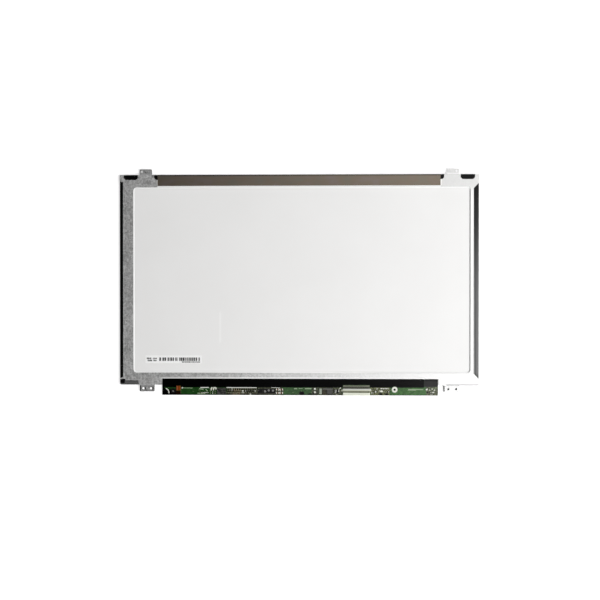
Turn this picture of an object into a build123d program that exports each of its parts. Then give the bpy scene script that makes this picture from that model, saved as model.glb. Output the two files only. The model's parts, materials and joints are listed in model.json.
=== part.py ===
"""Liquid crystal screen panel of a 15.6 inch laptop, with its edge-lit back light and its board.

The panel lies on its display face, so its back is up. X runs across the panel, Y runs up it and
Z runs from the display face to the back. The origin is under the middle of the outline, on the
plane of the display face. All sizes are in millimetres.
"""

import os

from build123d import *

os.makedirs("parts", exist_ok=True)

# Picture area, and the borders of the moulded frame around it
active_width = 344.2
active_height = 193.5
side_border = 7.35
top_border = 4.1
bottom_border = 12.7

# What stands out past the moulded frame, up and down the panel
top_ear_reach = 5.7
bottom_ear_reach = 6.9
board_reach = 10.4

# Room around loose pieces in their pockets, and between pieces laid side by side
slip = 0.3
seam = 0.1

# Thickness of each layer, from the display face to the back
polarizer_thickness = 0.2
glass_thickness = 0.4
rim_tape_thickness = 0.1
ledge_thickness = 0.4
prism_thickness = 0.2
diffuser_thickness = 0.15
light_guide_thickness = 0.8
reflector_thickness = 0.2
chassis_thickness = 0.3
tape_thickness = 0.1
label_thickness = 0.1

# How far each layer of the display cell and back light goes past the picture area
polarizer_margin = 1.2
glass_margin = 3.6
glass_end_margin = 2.4
light_guide_margin = 1.5
lamp_margin = 1.75
sheet_corner = 0.8

# Moulded frame
frame_corner = 1.6
frame_edge_round = 0.15
bottom_wall = 0.5
glass_overhang = 0.25
tab_length = 9.0
tab_reach = 1.4
side_tab_inset = 58.0
top_tab_inset = 31.5
hook_length = 2.0
hook_height = 0.5
hook_reach = 0.2

# Folded steel chassis
left_lip = 3.2
left_rail = 10.15
right_lip = 5.15
right_rail = 3.1
bottom_rail = 5.8
arm_height = 12.4
window_corner = 3.5
left_lip_top_inset = 6.3
left_lip_slope = 1.2
right_lip_top_inset = 8.6
right_lip_slope = 5.4
lip_bottom_inset = 6.4
flange_length = 5.0
flange_inset = 0.6
flange_depth = 1.7

# Cut-outs of the chassis, in order from the side of the panel inwards
pocket_inset = 3.85
pocket_width = 14.3
pocket_depth = 5.0
pocket_corner = 1.9
arm_notch_width = 3.5
arm_notch_depth = 4.9
arm_notch_corner = 2.9
foot_notch_width = 5.2
foot_notch_height = 5.7
foot_pocket_width = 13.5
foot_pocket_depth = 3.9
foot_pocket_corner = 1.2
left_foot_length = 7.2
right_foot_length = 5.2

# Screw ears, stepped down from the chassis
top_ear_gap = 1.5
top_ear_width = 12.8
top_ear_notch_gap = 2.0
bottom_ear_gap = 1.1
bottom_ear_width = 15.0
ear_drop = 0.8
ear_ramp_start = 0.3
ear_ramp_run = 1.0
ear_bend = 0.5
ear_corner = 0.9
ear_hole_radius = 1.15
ear_hole_spacing = 7.7
top_ear_hole_from_tip = 2.5
bottom_ear_hole_from_tip = 3.2

# Adhesive tape and label on the back
top_tape_height = 11.1
top_tape_wrap = 2.0
label_width = 56.8
label_height = 7.8
label_left_inset = 12.2
label_bottom_inset = 9.5
label_corner = 0.6

# Lamp strip along the bottom edge of the light guide
led_pitch = 8.0
led_length = 3.0
led_depth = 1.2
led_window_length = 2.2
led_window_depth = 0.1
led_board_width = 3.8
led_board_thickness = 0.2
tail_width = 13.6
tail_right_inset = 0.2
tail_reach = 8.0
tail_ramp_run = 2.0
tail_bend = 0.3

# Display drivers on the glass, and the flexible films down to the board
driver_count = 3
driver_length = 22.0
driver_width = 1.3
driver_thickness = 0.3
driver_gap = 0.8
flex_width = 38.0
flex_thickness = 0.1
flex_bond = 1.8
flex_lap = 2.6

# Board and its black cover tape
board_thickness = 0.8
board_gap = 0.55
board_end_gap = 0.3
board_corner = 0.6
cover_tape_height = 8.8
cover_tape_fold = 1.0
cover_fold_round = 0.15
cover_notch_room = 0.2
left_hole_radius = 1.6
left_hole_up = 2.8
right_hole_radius = 1.0
right_hole_pad = 6.0
right_hole_up = 5.8

# Signal connector at the bottom edge of the board
connector_width = 26.5
connector_depth = 8.2
connector_height = 1.4
connector_mouth_width = 22.6
connector_mouth_height = 0.7
connector_mouth_depth = 4.4
connector_floor = 0.3
shell_thickness = 0.2
shell_fit = 0.03
shell_edge_round = 0.15
shell_depth = 7.0
shell_slot_end = 0.6
shell_slot_height = 1.5
shell_slot_up = 3.3
shell_foot_length = 2.2
shell_foot_reach = 1.5
shell_foot_up = 4.6
contact_count = 40
contact_pitch = 0.5
contact_width = 0.22
contact_thickness = 0.15
contact_fit = 0.03
contact_tail = 1.9
contact_step = 0.5
contact_tongue = 3.0

# Features that the small components on the board share
part_gap = 0.6
lower_row = 2.4
middle_row = 4.0
upper_row = 5.8
cap_build = 0.04
cap_share = 0.24
lead_thickness = 0.15
lead_foot = 0.5
chip_standoff = 0.1
chip_chamfer = 0.15
terminal_thickness = 0.15

# Sizes of the components, and the number of like ones in each bank
left_end_width = 8.1
coil_radius = 2.5
coil_core_radius = 2.1
coil_flange = 0.35
coil_winding = 0.7
tantalum_length = 4.5
tantalum_width = 4.6
tantalum_height = 1.4
tantalum_up = 7.0
output_width = 3.0
output_height = 1.2
timing_length = 9.2
timing_width = 6.6
timing_height = 0.9
led_driver_length = 5.0
led_driver_width = 4.4
led_driver_height = 0.8
level_length = 12.0
level_width = 4.4
level_height = 1.0
level_lead_count = 14
level_lead_pitch = 0.8
level_lead_width = 0.3
flash_length = 5.0
flash_width = 3.9
flash_height = 1.2
flash_lead_count = 4
flash_lead_pitch = 1.27
flash_lead_width = 0.42
inductor_length = 10.6
inductor_width = 6.6
inductor_height = 1.6
fuse_length = 5.4
fuse_width = 2.2
fuse_height = 0.7
filter_length = 3.2
filter_width = 1.6
filter_height = 1.2
filter_pitch = 3.6
filter_count = 2
diode_length = 2.5
diode_width = 1.3
diode_height = 0.9
diode_pitch = 6.0
diode_count = 2
diode_up = 1.4
small_length = 1.6
small_width = 0.8
capacitor_height = 0.8
resistor_height = 0.45
bank_pitch = 2.4
dense_pitch = 2.2
dense_count = 14
resistor_count = 4
capacitor_count = 3
side_bank_count = 7
end_bank_count = 4

# Shares of the board's bare length, between its groups of components
left_bare_share = 0.21
middle_bare_share = 0.435
right_bare_share = 0.355

# Edges of the moulded frame and of the picture area
body_width = active_width + 2 * side_border
body_height = active_height + top_border + bottom_border
overall_height = top_ear_reach + body_height + board_reach
body_right = body_width / 2
body_left = -body_right
body_top = overall_height / 2 - top_ear_reach
body_bottom = body_top - body_height
active_right = active_width / 2
active_top = body_top - top_border
active_bottom = active_top - active_height

# Levels of the layers, from the display face up
filter_front = polarizer_thickness
array_front = filter_front + glass_thickness
array_back = array_front + glass_thickness
ledge_front = array_back + rim_tape_thickness
sheets_front = ledge_front + ledge_thickness
prism_lower_front = sheets_front + prism_thickness
diffuser_front = prism_lower_front + prism_thickness
light_guide_front = diffuser_front + diffuser_thickness
reflector_front = light_guide_front + light_guide_thickness
frame_back = reflector_front + reflector_thickness
chassis_back = frame_back + chassis_thickness
chassis_middle = frame_back + chassis_thickness / 2

# Edges of the display cell
polarizer_right = active_right + polarizer_margin
polarizer_top = active_top + polarizer_margin
polarizer_bottom = active_bottom - polarizer_margin
glass_right = active_right + glass_margin
glass_top = active_top + glass_end_margin
filter_bottom = active_bottom - glass_end_margin

# Edges of the back light
light_guide_right = active_right + light_guide_margin
light_guide_top = active_top + light_guide_margin
light_guide_bottom = active_bottom - lamp_margin
led_board_top = light_guide_bottom - seam
led_board_bottom = led_board_top - led_board_width
led_board_front = frame_back - led_board_thickness
lamp_bay_bottom = led_board_bottom - slip

# Ends of the chassis arms, and the recess in the bottom edge where the glass reaches the board
top_ear_inset = pocket_inset + pocket_width + top_ear_gap
arm_length = top_ear_inset + top_ear_width + top_ear_notch_gap + arm_notch_width
arm_end = body_right - arm_length
bottom_ear_inset = foot_notch_width + foot_pocket_width + bottom_ear_gap
recess_left = body_left + bottom_ear_inset + bottom_ear_width + left_foot_length
recess_right = body_right - bottom_ear_inset - bottom_ear_width - right_foot_length
recess_top = lamp_bay_bottom - bottom_wall
array_bottom = recess_top - glass_overhang

# Edges of the board
board_left = recess_left + board_end_gap
board_right = recess_right - board_end_gap
board_length = board_right - board_left
board_top = array_bottom - board_gap
board_bottom = body_bottom - board_reach
board_front = array_front
board_back = board_front + board_thickness


def write(piece, name):
    """Labels a finished piece and writes it to its own file."""
    piece.part.label = name
    export_step(piece.part, f"parts/{name}.step")


def spanned(left, right, bottom, top, mode=Mode.ADD):
    """A rectangle in the open sketch, given by its four sides."""
    with Locations(((left + right) / 2, (bottom + top) / 2)):
        Rectangle(right - left, top - bottom, mode=mode)


def layer(name, left, right, bottom, top, front, thickness):
    """A flat plate or film with its four sides, its front level and its thickness."""
    with BuildPart() as plate:
        with BuildSketch(Plane.XY.offset(front)) as outline:
            spanned(left, right, bottom, top)
            fillet(outline.vertices(), radius=sheet_corner)
        extrude(amount=thickness)
    write(plate, name)


def folded_strip(points, bend, thickness, left, width):
    """A strip of sheet, folded along a path of (Y, Z) points, in the open part."""
    with BuildSketch(Plane.YZ.offset(left), mode=Mode.PRIVATE) as profile:
        with BuildLine():
            FilletPolyline(*points, radius=bend)
        trace(line_width=thickness)
    extrude(profile.sketch, amount=width)


def stepped_strip(points, thickness, left, width):
    """A strip with square bends along a path of (Y, Z) points, in the open part."""
    with BuildSketch(Plane.YZ.offset(left), mode=Mode.PRIVATE) as profile:
        with BuildLine():
            Polyline(*points)
        trace(line_width=thickness)
        with Locations(*points[1:-1]):
            Rectangle(thickness, thickness)
    extrude(profile.sketch, amount=width)


# Display cell: two glass plates with a polarizing film on each outer face
layer("front_polarizer", -polarizer_right, polarizer_right, polarizer_bottom, polarizer_top,
      0, polarizer_thickness)
layer("colour_filter_glass", -glass_right, glass_right, filter_bottom, glass_top,
      filter_front, glass_thickness)
layer("tft_array_glass", -glass_right, glass_right, array_bottom, glass_top,
      array_front, glass_thickness)
layer("rear_polarizer", -polarizer_right, polarizer_right, polarizer_bottom, polarizer_top,
      array_back, polarizer_thickness)

# Driver chips sit on the bare edge of the lower glass, below the colour filter
driver_pitch = board_length / driver_count
driver_middle = (board_left + board_right) / 2
driver_top = filter_bottom - driver_gap
driver_columns = [driver_middle + (i - (driver_count - 1) / 2) * driver_pitch for i in range(driver_count)]
with BuildPart() as source_driver_chips:
    with BuildSketch(Plane.XY.offset(array_front - driver_thickness)):
        with Locations(*[(x, driver_top - driver_width / 2) for x in driver_columns]):
            Rectangle(driver_length, driver_width)
    extrude(amount=driver_thickness)
write(source_driver_chips, "source_driver_chips")

# Flexible films carry the signals from the edge of the glass across to the board
with BuildPart() as board_flex_films:
    with BuildSketch(Plane.XY.offset(array_front - flex_thickness)):
        for x in driver_columns:
            spanned(x - flex_width / 2, x + flex_width / 2, board_top - flex_lap, array_bottom + flex_bond)
    extrude(amount=flex_thickness)
write(board_flex_films, "board_flex_films")

# Black tape round the display face hides the joint between the glass and the frame
with BuildPart() as front_border_tape:
    with BuildSketch(Plane.XY.offset(filter_front - tape_thickness)):
        spanned(body_left + seam, body_right - seam, recess_top, body_top - seam)
        spanned(-polarizer_right - slip, polarizer_right + slip, polarizer_bottom - slip,
                polarizer_top + slip, mode=Mode.SUBTRACT)
    extrude(amount=tape_thickness)
write(front_border_tape, "front_border_tape")

# Features that the frame shares with the sheets, the lamp strip and the chassis
ledge_right = polarizer_right + slip
ledge_top = polarizer_top + slip
ledge_bottom = polarizer_bottom - slip
hold_down_end = arm_end - slip
hold_down_bottom = body_top - pocket_depth - slip
tail_right = board_right - tail_right_inset
tail_left = tail_right - tail_width
flange_level = chassis_back - flange_depth / 2
flange_places = [
    (-1, body_top - flange_inset - flange_length / 2),
    (1, body_top - flange_inset - flange_length / 2),
    (1, body_bottom + flange_inset + flange_length / 2),
]


def sheet_outline(room=0.0):
    """Outline of the light guide and its films, with tabs at the left side and the top."""
    left = -light_guide_right - room
    top = light_guide_top + room
    half = tab_length / 2 + room
    spanned(left, light_guide_right + room, light_guide_bottom, top)
    for y in (active_bottom + side_tab_inset, active_top - side_tab_inset):
        spanned(left - tab_reach, left, y - half, y + half)
    for x in (top_tab_inset - arm_end, arm_end - top_tab_inset):
        spanned(x - half, x + half, top, top + tab_reach)


def hold_downs(room=0.0):
    """Cuts the corners of the open sketch where the frame holds the sheets down."""
    outer = light_guide_right + slip
    for left, right in ((-outer, room - hold_down_end), (hold_down_end - room, outer)):
        spanned(left, right, hold_down_bottom - room, light_guide_top + slip, mode=Mode.SUBTRACT)


# Moulded frame: a pocket for the glass in front, a ledge, and a pocket for the back light behind
with BuildPart() as mould_frame:
    with BuildSketch(Plane.XY.offset(filter_front)) as outline:
        spanned(body_left, body_right, body_bottom, body_top)
        fillet(outline.vertices(), radius=frame_corner)
        spanned(recess_left, recess_right, body_bottom, recess_top, mode=Mode.SUBTRACT)
    extrude(amount=frame_back - filter_front)
    back_edges = mould_frame.faces().sort_by(Axis.Z)[-1].outer_wire().edges()
    fillet(back_edges.filter_by(Axis.X).sort_by(Axis.Y)[-1], radius=frame_edge_round)
    with BuildSketch(Plane.XY.offset(filter_front)):
        spanned(-glass_right - slip, glass_right + slip, array_bottom - slip, glass_top + slip)
    extrude(amount=ledge_front - filter_front, mode=Mode.SUBTRACT)
    with BuildSketch(Plane.XY.offset(ledge_front)):
        spanned(-ledge_right, ledge_right, ledge_bottom, ledge_top)
    extrude(amount=ledge_thickness, mode=Mode.SUBTRACT)
    lamp_bay = (-light_guide_right - slip, light_guide_right + slip, lamp_bay_bottom, light_guide_bottom)
    with BuildSketch(Plane.XY.offset(sheets_front)):
        sheet_outline(room=slip)
        spanned(*lamp_bay)
    extrude(amount=reflector_front - sheets_front, mode=Mode.SUBTRACT)
    with BuildSketch(Plane.XY.offset(reflector_front)):
        sheet_outline(room=slip)
        spanned(*lamp_bay)
        hold_downs()
    extrude(amount=reflector_thickness, mode=Mode.SUBTRACT)
    # A shallow gap in the bottom wall lets the lamp strip's tail out
    with BuildSketch(Plane.XY.offset(led_board_front - seam)):
        spanned(tail_left - slip, tail_right + slip, recess_top, lamp_bay_bottom)
    extrude(amount=led_board_thickness + seam, mode=Mode.SUBTRACT)
    # Hooks on the sides snap into the windows of the chassis flanges
    for side, y in flange_places:
        with BuildSketch(Plane.YZ.offset(side * body_right)):
            with Locations((y, flange_level)):
                Rectangle(hook_length, hook_height)
        extrude(amount=side * hook_reach)
write(mould_frame, "mould_frame")

# Double-sided tape between the lower glass and the ledge
with BuildPart() as rim_tape:
    with BuildSketch(Plane.XY.offset(array_back)):
        spanned(seam - glass_right, glass_right - seam, recess_top + seam, glass_top - seam)
        spanned(-ledge_right - seam, ledge_right + seam, ledge_bottom - seam, ledge_top + seam,
                mode=Mode.SUBTRACT)
    extrude(amount=rim_tape_thickness)
write(rim_tape, "rim_tape")

# Back light: three films and the light guide, all of one outline
sheets = [
    ("prism_sheet_upper", sheets_front, prism_thickness),
    ("prism_sheet_lower", prism_lower_front, prism_thickness),
    ("diffuser_sheet", diffuser_front, diffuser_thickness),
    ("light_guide_plate", light_guide_front, light_guide_thickness),
]
for name, front, thickness in sheets:
    with BuildPart() as sheet:
        with BuildSketch(Plane.XY.offset(front)):
            sheet_outline()
        extrude(amount=thickness)
    write(sheet, name)

# The reflector is cut back at its top corners, clear of the frame's hold-downs
with BuildPart() as reflector_sheet:
    with BuildSketch(Plane.XY.offset(reflector_front)):
        sheet_outline()
        hold_downs(room=slip)
    extrude(amount=reflector_thickness)
write(reflector_sheet, "reflector_sheet")

# Lamp strip: a flexible board along the bay, with a tail folded down to the control board
strip_level = led_board_front + led_board_thickness / 2
tail_level = board_back + led_board_thickness / 2
tail_fold = recess_top - slip
with BuildPart() as led_strip_board:
    with BuildSketch(Plane.XY.offset(led_board_front)):
        spanned(-light_guide_right, light_guide_right, led_board_bottom, led_board_top)
    extrude(amount=led_board_thickness)
    folded_strip(
        [
            (led_board_bottom + slip, strip_level),
            (tail_fold, strip_level),
            (tail_fold - tail_ramp_run, tail_level),
            (recess_top - tail_reach, tail_level),
        ],
        tail_bend, led_board_thickness, tail_left, tail_width,
    )
write(led_strip_board, "led_strip_board")

# Lamps, each with its light window towards the edge of the light guide
led_count = int(2 * light_guide_right / led_pitch) - 1
led_height = led_board_front - light_guide_front
led_front_edge = led_board_top - seam
led_columns = [(i - (led_count - 1) / 2) * led_pitch for i in range(led_count)]
with BuildPart() as led_packages:
    with BuildSketch(Plane.XY.offset(light_guide_front)):
        with Locations(*[(x, led_front_edge - led_depth / 2) for x in led_columns]):
            Rectangle(led_length, led_depth)
    extrude(amount=led_height)
    with BuildSketch(Plane.XY.offset(light_guide_front + led_height / 4)):
        with Locations(*[(x, led_front_edge - led_window_depth / 2) for x in led_columns]):
            Rectangle(led_window_length, led_window_depth)
    extrude(amount=led_height / 2, mode=Mode.SUBTRACT)
write(led_packages, "led_packages")

# Edges of the folded steel chassis
chassis_left = body_left + left_lip
chassis_right = body_right - right_lip
window_left = chassis_left + left_rail
window_right = chassis_right - right_rail
window_top = body_top - arm_height
window_bottom = recess_top + bottom_rail

# Each ear: middle, width, edge of the frame that it stands on, its way up or down, reach, hole place
ears = []
for side in (-1, 1):
    top_middle = side * (body_right - top_ear_inset - top_ear_width / 2)
    bottom_middle = side * (body_right - bottom_ear_inset - bottom_ear_width / 2)
    ears.append((top_middle, top_ear_width, body_top, 1, top_ear_reach, top_ear_hole_from_tip))
    ears.append((bottom_middle, bottom_ear_width, body_bottom, -1, bottom_ear_reach,
                 bottom_ear_hole_from_tip))


def lip_cut(side, inner, top, slope):
    """Cuts the open sketch back to leave a lip of the frame bare, with sloped ends."""
    outer = side * body_right
    bottom = body_bottom + lip_bottom_inset
    Polygon((outer, top), (inner, top - slope), (inner, bottom + slope), (outer, bottom),
            align=None, mode=Mode.SUBTRACT)


def edge_pocket(left, width, edge, depth, corner):
    """Cuts a pocket into the top edge of the open sketch, or its bottom edge if depth is negative."""
    far = edge - depth
    bevel = corner if depth > 0 else -corner
    Polygon((left, edge), (left, far + bevel), (left + corner, far), (left + width - corner, far),
            (left + width, far + bevel), (left + width, edge), align=None, mode=Mode.SUBTRACT)


# Folded steel chassis: a U-shaped frame over the back, with screw ears and side flanges
with BuildPart() as back_chassis:
    with BuildSketch(Plane.XY.offset(frame_back)):
        spanned(body_left, body_right, body_bottom, body_top)
        with Locations(((window_left + window_right) / 2, (window_bottom + window_top) / 2)):
            RectangleRounded(window_right - window_left, window_top - window_bottom, window_corner,
                             mode=Mode.SUBTRACT)
        spanned(-arm_end, arm_end, window_bottom + window_corner, body_top, mode=Mode.SUBTRACT)
        spanned(recess_left, recess_right, body_bottom, recess_top, mode=Mode.SUBTRACT)
        lip_cut(-1, chassis_left, body_top - left_lip_top_inset, left_lip_slope)
        lip_cut(1, chassis_right, body_top - right_lip_top_inset, right_lip_slope)
        for left in (body_left + pocket_inset, body_right - pocket_inset - pocket_width):
            edge_pocket(left, pocket_width, body_top, pocket_depth, pocket_corner)
        with Locations((-arm_end, body_top), (arm_end, body_top)):
            RectangleRounded(2 * arm_notch_width, 2 * arm_notch_depth, arm_notch_corner, mode=Mode.SUBTRACT)
        edge_pocket(body_left + foot_notch_width - foot_pocket_corner, foot_pocket_width + foot_pocket_corner,
                    body_bottom, -foot_pocket_depth, foot_pocket_corner)
        spanned(body_left, body_left + foot_notch_width, body_bottom, body_bottom + foot_notch_height,
                mode=Mode.SUBTRACT)
    extrude(amount=chassis_thickness)
    for x, width, edge, way, reach, _ in ears:
        folded_strip(
            [
                (edge - way * chassis_thickness, chassis_middle),
                (edge + way * ear_ramp_start, chassis_middle),
                (edge + way * (ear_ramp_start + ear_ramp_run), chassis_middle - ear_drop),
                (edge + way * reach, chassis_middle - ear_drop),
            ],
            ear_bend, chassis_thickness, x - width / 2, width,
        )
    tips = back_chassis.edges().filter_by(Axis.Z).group_by(Axis.Y)
    fillet(tips[0] + tips[-1], radius=ear_corner)
    # Flanges fold down over the sides of the moulded frame, with a window for each hook
    with BuildSketch(Plane.XY.offset(chassis_back - flange_depth)):
        for side, y in flange_places:
            with Locations((side * (body_right + chassis_thickness / 2), y)):
                Rectangle(chassis_thickness, flange_length)
    extrude(amount=flange_depth)
    for side, y in flange_places:
        with BuildSketch(Plane.YZ.offset(side * body_right)):
            with Locations((y, flange_level)):
                Rectangle(hook_length + 2 * slip, hook_height + 2 * seam)
        extrude(amount=side * chassis_thickness, mode=Mode.SUBTRACT)
    # Two screw holes in each ear
    with BuildSketch(Plane.XY.offset(frame_back - ear_drop)):
        for x, _, edge, way, reach, from_tip in ears:
            with Locations((x, edge + way * (reach - from_tip))):
                with GridLocations(ear_hole_spacing, 0, 2, 1):
                    Circle(ear_hole_radius)
    extrude(amount=chassis_thickness, mode=Mode.SUBTRACT)
write(back_chassis, "back_chassis")

# Dark tape across the top of the back, from arm to arm, folded over the top edge
tape_level = frame_back + tape_thickness / 2
tape_fold = body_top + tape_thickness / 2
with BuildPart() as top_edge_tape:
    folded_strip(
        [
            (body_top - top_tape_height, tape_level),
            (tape_fold, tape_level),
            (tape_fold, tape_level - top_tape_wrap),
        ],
        frame_edge_round + tape_thickness / 2, tape_thickness, seam - arm_end, 2 * (arm_end - seam),
    )
write(top_edge_tape, "top_edge_tape")

# Paper label on the reflector
label_left = window_left + label_left_inset
label_bottom = window_bottom + label_bottom_inset
with BuildPart() as serial_label:
    with BuildSketch(Plane.XY.offset(frame_back)):
        with Locations((label_left + label_width / 2, label_bottom + label_height / 2)):
            RectangleRounded(label_width, label_height, label_corner)
    extrude(amount=label_thickness)
write(serial_label, "serial_label")

# What stands along the board, from left to right, with the width that it takes up
connector_span = connector_width + 2 * (shell_fit + shell_thickness + shell_foot_reach)
board_order = {
    "left_end": left_end_width,
    "coil": 2 * coil_radius,
    "tantalum": tantalum_length,
    "left_bare": 0,
    "resistors": resistor_count * bank_pitch,
    "capacitors": capacitor_count * bank_pitch,
    "timing": timing_length,
    "dense": dense_count * dense_pitch,
    "led_driver": led_driver_length,
    "level": level_length,
    "filter": filter_count * filter_pitch,
    "middle_bare": 0,
    "fuse": fuse_width,
    "inductor": inductor_length,
    "flash": flash_length,
    "flash_side": small_length,
    "connector": connector_span,
    "connector_side": small_length,
    "side_bank": side_bank_count * bank_pitch,
    "right_hole": right_hole_pad,
    "right_bare": 0,
    "end_bank": end_bank_count * bank_pitch,
}
bare_shares = {"left_bare": left_bare_share, "middle_bare": middle_bare_share, "right_bare": right_bare_share}
bare_length = board_length - sum(board_order.values()) - part_gap * len(board_order)
along = {}
cursor = board_left
for name, width in board_order.items():
    width += bare_length * bare_shares.get(name, 0)
    along[name] = cursor + width / 2
    cursor += width + part_gap

# Control board below the panel, with two plated locating holes
with BuildPart() as control_board:
    with BuildSketch(Plane.XY.offset(board_front)) as outline:
        spanned(board_left, board_right, board_bottom, board_top)
        fillet(outline.vertices(), radius=board_corner)
        with Locations((along["left_end"], board_bottom + left_hole_up)):
            Circle(left_hole_radius, mode=Mode.SUBTRACT)
        with Locations((along["right_hole"], board_bottom + right_hole_up)):
            Circle(right_hole_radius, mode=Mode.SUBTRACT)
    extrude(amount=board_thickness)
write(control_board, "control_board")

# Edges of the connector, and of the notches that the cover tape leaves for tall components and a hole's ring
connector_x = along["connector"]
connector_top = board_bottom + connector_depth
contact_end = connector_top + contact_tail
mouth_back = board_bottom + connector_mouth_depth
tantalum_top = board_bottom + tantalum_up + tantalum_width / 2
cover_bottom = recess_top - cover_tape_height
cover_level = board_back + tape_thickness / 2
cover_fold = recess_top - tape_thickness / 2

# Black tape over the upper part of the board, folded up against the frame
with BuildPart() as board_cover_tape:
    folded_strip(
        [
            (cover_bottom, cover_level),
            (cover_fold, cover_level),
            (cover_fold, cover_level + cover_tape_fold),
        ],
        cover_fold_round + tape_thickness / 2, tape_thickness, board_left, tail_left - seam - board_left,
    )
    with BuildSketch(Plane.XY.offset(board_back)):
        for x, width, top in (
            (connector_x, connector_width, contact_end),
            (along["tantalum"], tantalum_length, tantalum_top),
        ):
            half = width / 2 + cover_notch_room
            spanned(x - half, x + half, cover_bottom, top + cover_notch_room)
        with Locations((along["right_hole"], board_bottom + right_hole_up)):
            Circle(right_hole_pad / 2 + cover_notch_room)
    extrude(amount=tape_thickness, mode=Mode.SUBTRACT)
write(board_cover_tape, "board_cover_tape")

# Connector: a moulded housing, open at the board's edge, with a slot for each contact
contact_level = board_back + connector_floor + connector_mouth_height / 2
with BuildPart() as connector_housing:
    with BuildSketch(Plane.XY.offset(board_back)):
        spanned(connector_x - connector_width / 2, connector_x + connector_width / 2,
                board_bottom, connector_top)
    extrude(amount=connector_height)
    fillet(connector_housing.edges().filter_by(Axis.Y).group_by(Axis.Z)[-1], radius=shell_edge_round)
    with BuildSketch(Plane.XZ.offset(-mouth_back)):
        with Locations((connector_x, contact_level)):
            Rectangle(connector_mouth_width, connector_mouth_height)
    extrude(amount=connector_mouth_depth, mode=Mode.SUBTRACT)
    with BuildSketch(Plane.XZ.offset(-connector_top)):
        with Locations((connector_x, contact_level)):
            with GridLocations(contact_pitch, 0, contact_count, 1):
                Rectangle(contact_width + 2 * contact_fit, contact_thickness + 2 * contact_fit)
    extrude(amount=connector_top - mouth_back, mode=Mode.SUBTRACT)
write(connector_housing, "connector_housing")

# Metal shell folded over the housing, soldered down by a foot on each side
shell_half = connector_width / 2 + shell_fit + shell_thickness / 2
shell_roof = board_back + connector_height + shell_fit + shell_thickness / 2
with BuildPart() as connector_shell:
    with BuildSketch(Plane.XZ.offset(-(board_bottom + shell_depth))):
        with BuildLine():
            FilletPolyline(
                (connector_x - shell_half, board_back), (connector_x - shell_half, shell_roof),
                (connector_x + shell_half, shell_roof), (connector_x + shell_half, board_back),
                radius=shell_edge_round + shell_thickness / 2,
            )
        trace(line_width=shell_thickness)
    extrude(amount=shell_depth)
    with BuildSketch(Plane.XY.offset(board_back)):
        for side in (-1, 1):
            foot_x = connector_x + side * (shell_half + shell_foot_reach / 2)
            with Locations((foot_x, board_bottom + shell_foot_up)):
                Rectangle(shell_foot_reach + shell_thickness, shell_foot_length)
    extrude(amount=shell_thickness)
    with BuildSketch(Plane.XY.offset(shell_roof - shell_thickness / 2)):
        with Locations((connector_x, board_bottom + shell_slot_up)):
            Rectangle(connector_width - 2 * shell_slot_end, shell_slot_height)
    extrude(amount=shell_thickness, mode=Mode.SUBTRACT)
write(connector_shell, "connector_shell")

# Contacts: a tail on the board, a step up, and a tongue in the mouth of the housing
tail_foot_level = board_back + contact_thickness / 2
with BuildPart() as connector_contacts:
    for i in range(contact_count):
        x = connector_x + (i - (contact_count - 1) / 2) * contact_pitch
        stepped_strip(
            [
                (contact_end, tail_foot_level),
                (connector_top + contact_step, tail_foot_level),
                (connector_top + contact_step, contact_level),
                (mouth_back - contact_tongue, contact_level),
            ],
            contact_thickness, x - contact_width / 2, contact_width,
        )
write(connector_contacts, "connector_contacts")


def bank(name, pitch, count, up, turn=0):
    """Places of like components, side by side in a stretch of the board, at a height above its edge."""
    first = along[name] - (count - 1) / 2 * pitch
    return [Location((first + i * pitch, board_bottom + up), turn) for i in range(count)]


def capped_parts(name, places, length, width, height):
    """Small two-ended components on the board, each with a metal cap at both ends."""
    cap = length * cap_share
    with BuildPart() as group:
        with BuildSketch(Plane.XY.offset(board_back)):
            with Locations(*places):
                Rectangle(length - cap, width)
        extrude(amount=height)
        with BuildSketch(Plane.XY.offset(board_back)):
            for side in (-1, 1):
                with Locations(*[place * Pos(side * (length - cap) / 2, 0) for place in places]):
                    Rectangle(cap, width + 2 * cap_build)
        extrude(amount=height + cap_build)
    write(group, name)


def moulded_parts(name, places, length, width, height):
    """Moulded components on the board, each with a flat metal terminal at both ends."""
    body = length - 2 * terminal_thickness
    with BuildPart() as group:
        with BuildSketch(Plane.XY.offset(board_back)):
            with Locations(*places):
                Rectangle(body, width)
        extrude(amount=height)
        chamfer(group.faces().group_by(Axis.Z)[-1].edges(), length=chip_chamfer)
        with BuildSketch(Plane.XY.offset(board_back)):
            for side in (-1, 1):
                with Locations(*[place * Pos(side * (body + terminal_thickness) / 2, 0) for place in places]):
                    Rectangle(terminal_thickness, width / 2)
        extrude(amount=height / 2)
    write(group, name)


def flat_chip(name, place, length, width, height):
    """A moulded chip without leads, soldered flat on the board."""
    with BuildPart() as chip:
        with BuildSketch(Plane.XY.offset(board_back)):
            with Locations(place):
                Rectangle(length, width)
        extrude(amount=height)
        chamfer(chip.faces().sort_by(Axis.Z)[-1].edges(), length=chip_chamfer)
    write(chip, name)


def leaded_chip(name, place, length, width, height, lead_count, lead_pitch, lead_width):
    """A moulded chip with bent leads along its two long sides."""
    x, y = place.position.X, place.position.Y
    foot_level = board_back + lead_thickness / 2
    shoulder = board_back + chip_standoff + height / 2
    with BuildPart() as chip:
        with BuildSketch(Plane.XY.offset(board_back + chip_standoff)):
            with Locations(place):
                Rectangle(length, width)
        extrude(amount=height)
        chamfer(chip.faces().sort_by(Axis.Z)[-1].edges(), length=chip_chamfer)
        for way in (-1, 1):
            side = y + way * width / 2
            for i in range(lead_count):
                stepped_strip(
                    [
                        (side - way * lead_thickness, shoulder),
                        (side + way * lead_foot, shoulder),
                        (side + way * lead_foot, foot_level),
                        (side + way * 2 * lead_foot, foot_level),
                    ],
                    lead_thickness,
                    x + (i - (lead_count - 1) / 2) * lead_pitch - lead_width / 2, lead_width,
                )
    write(chip, name)


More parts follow.
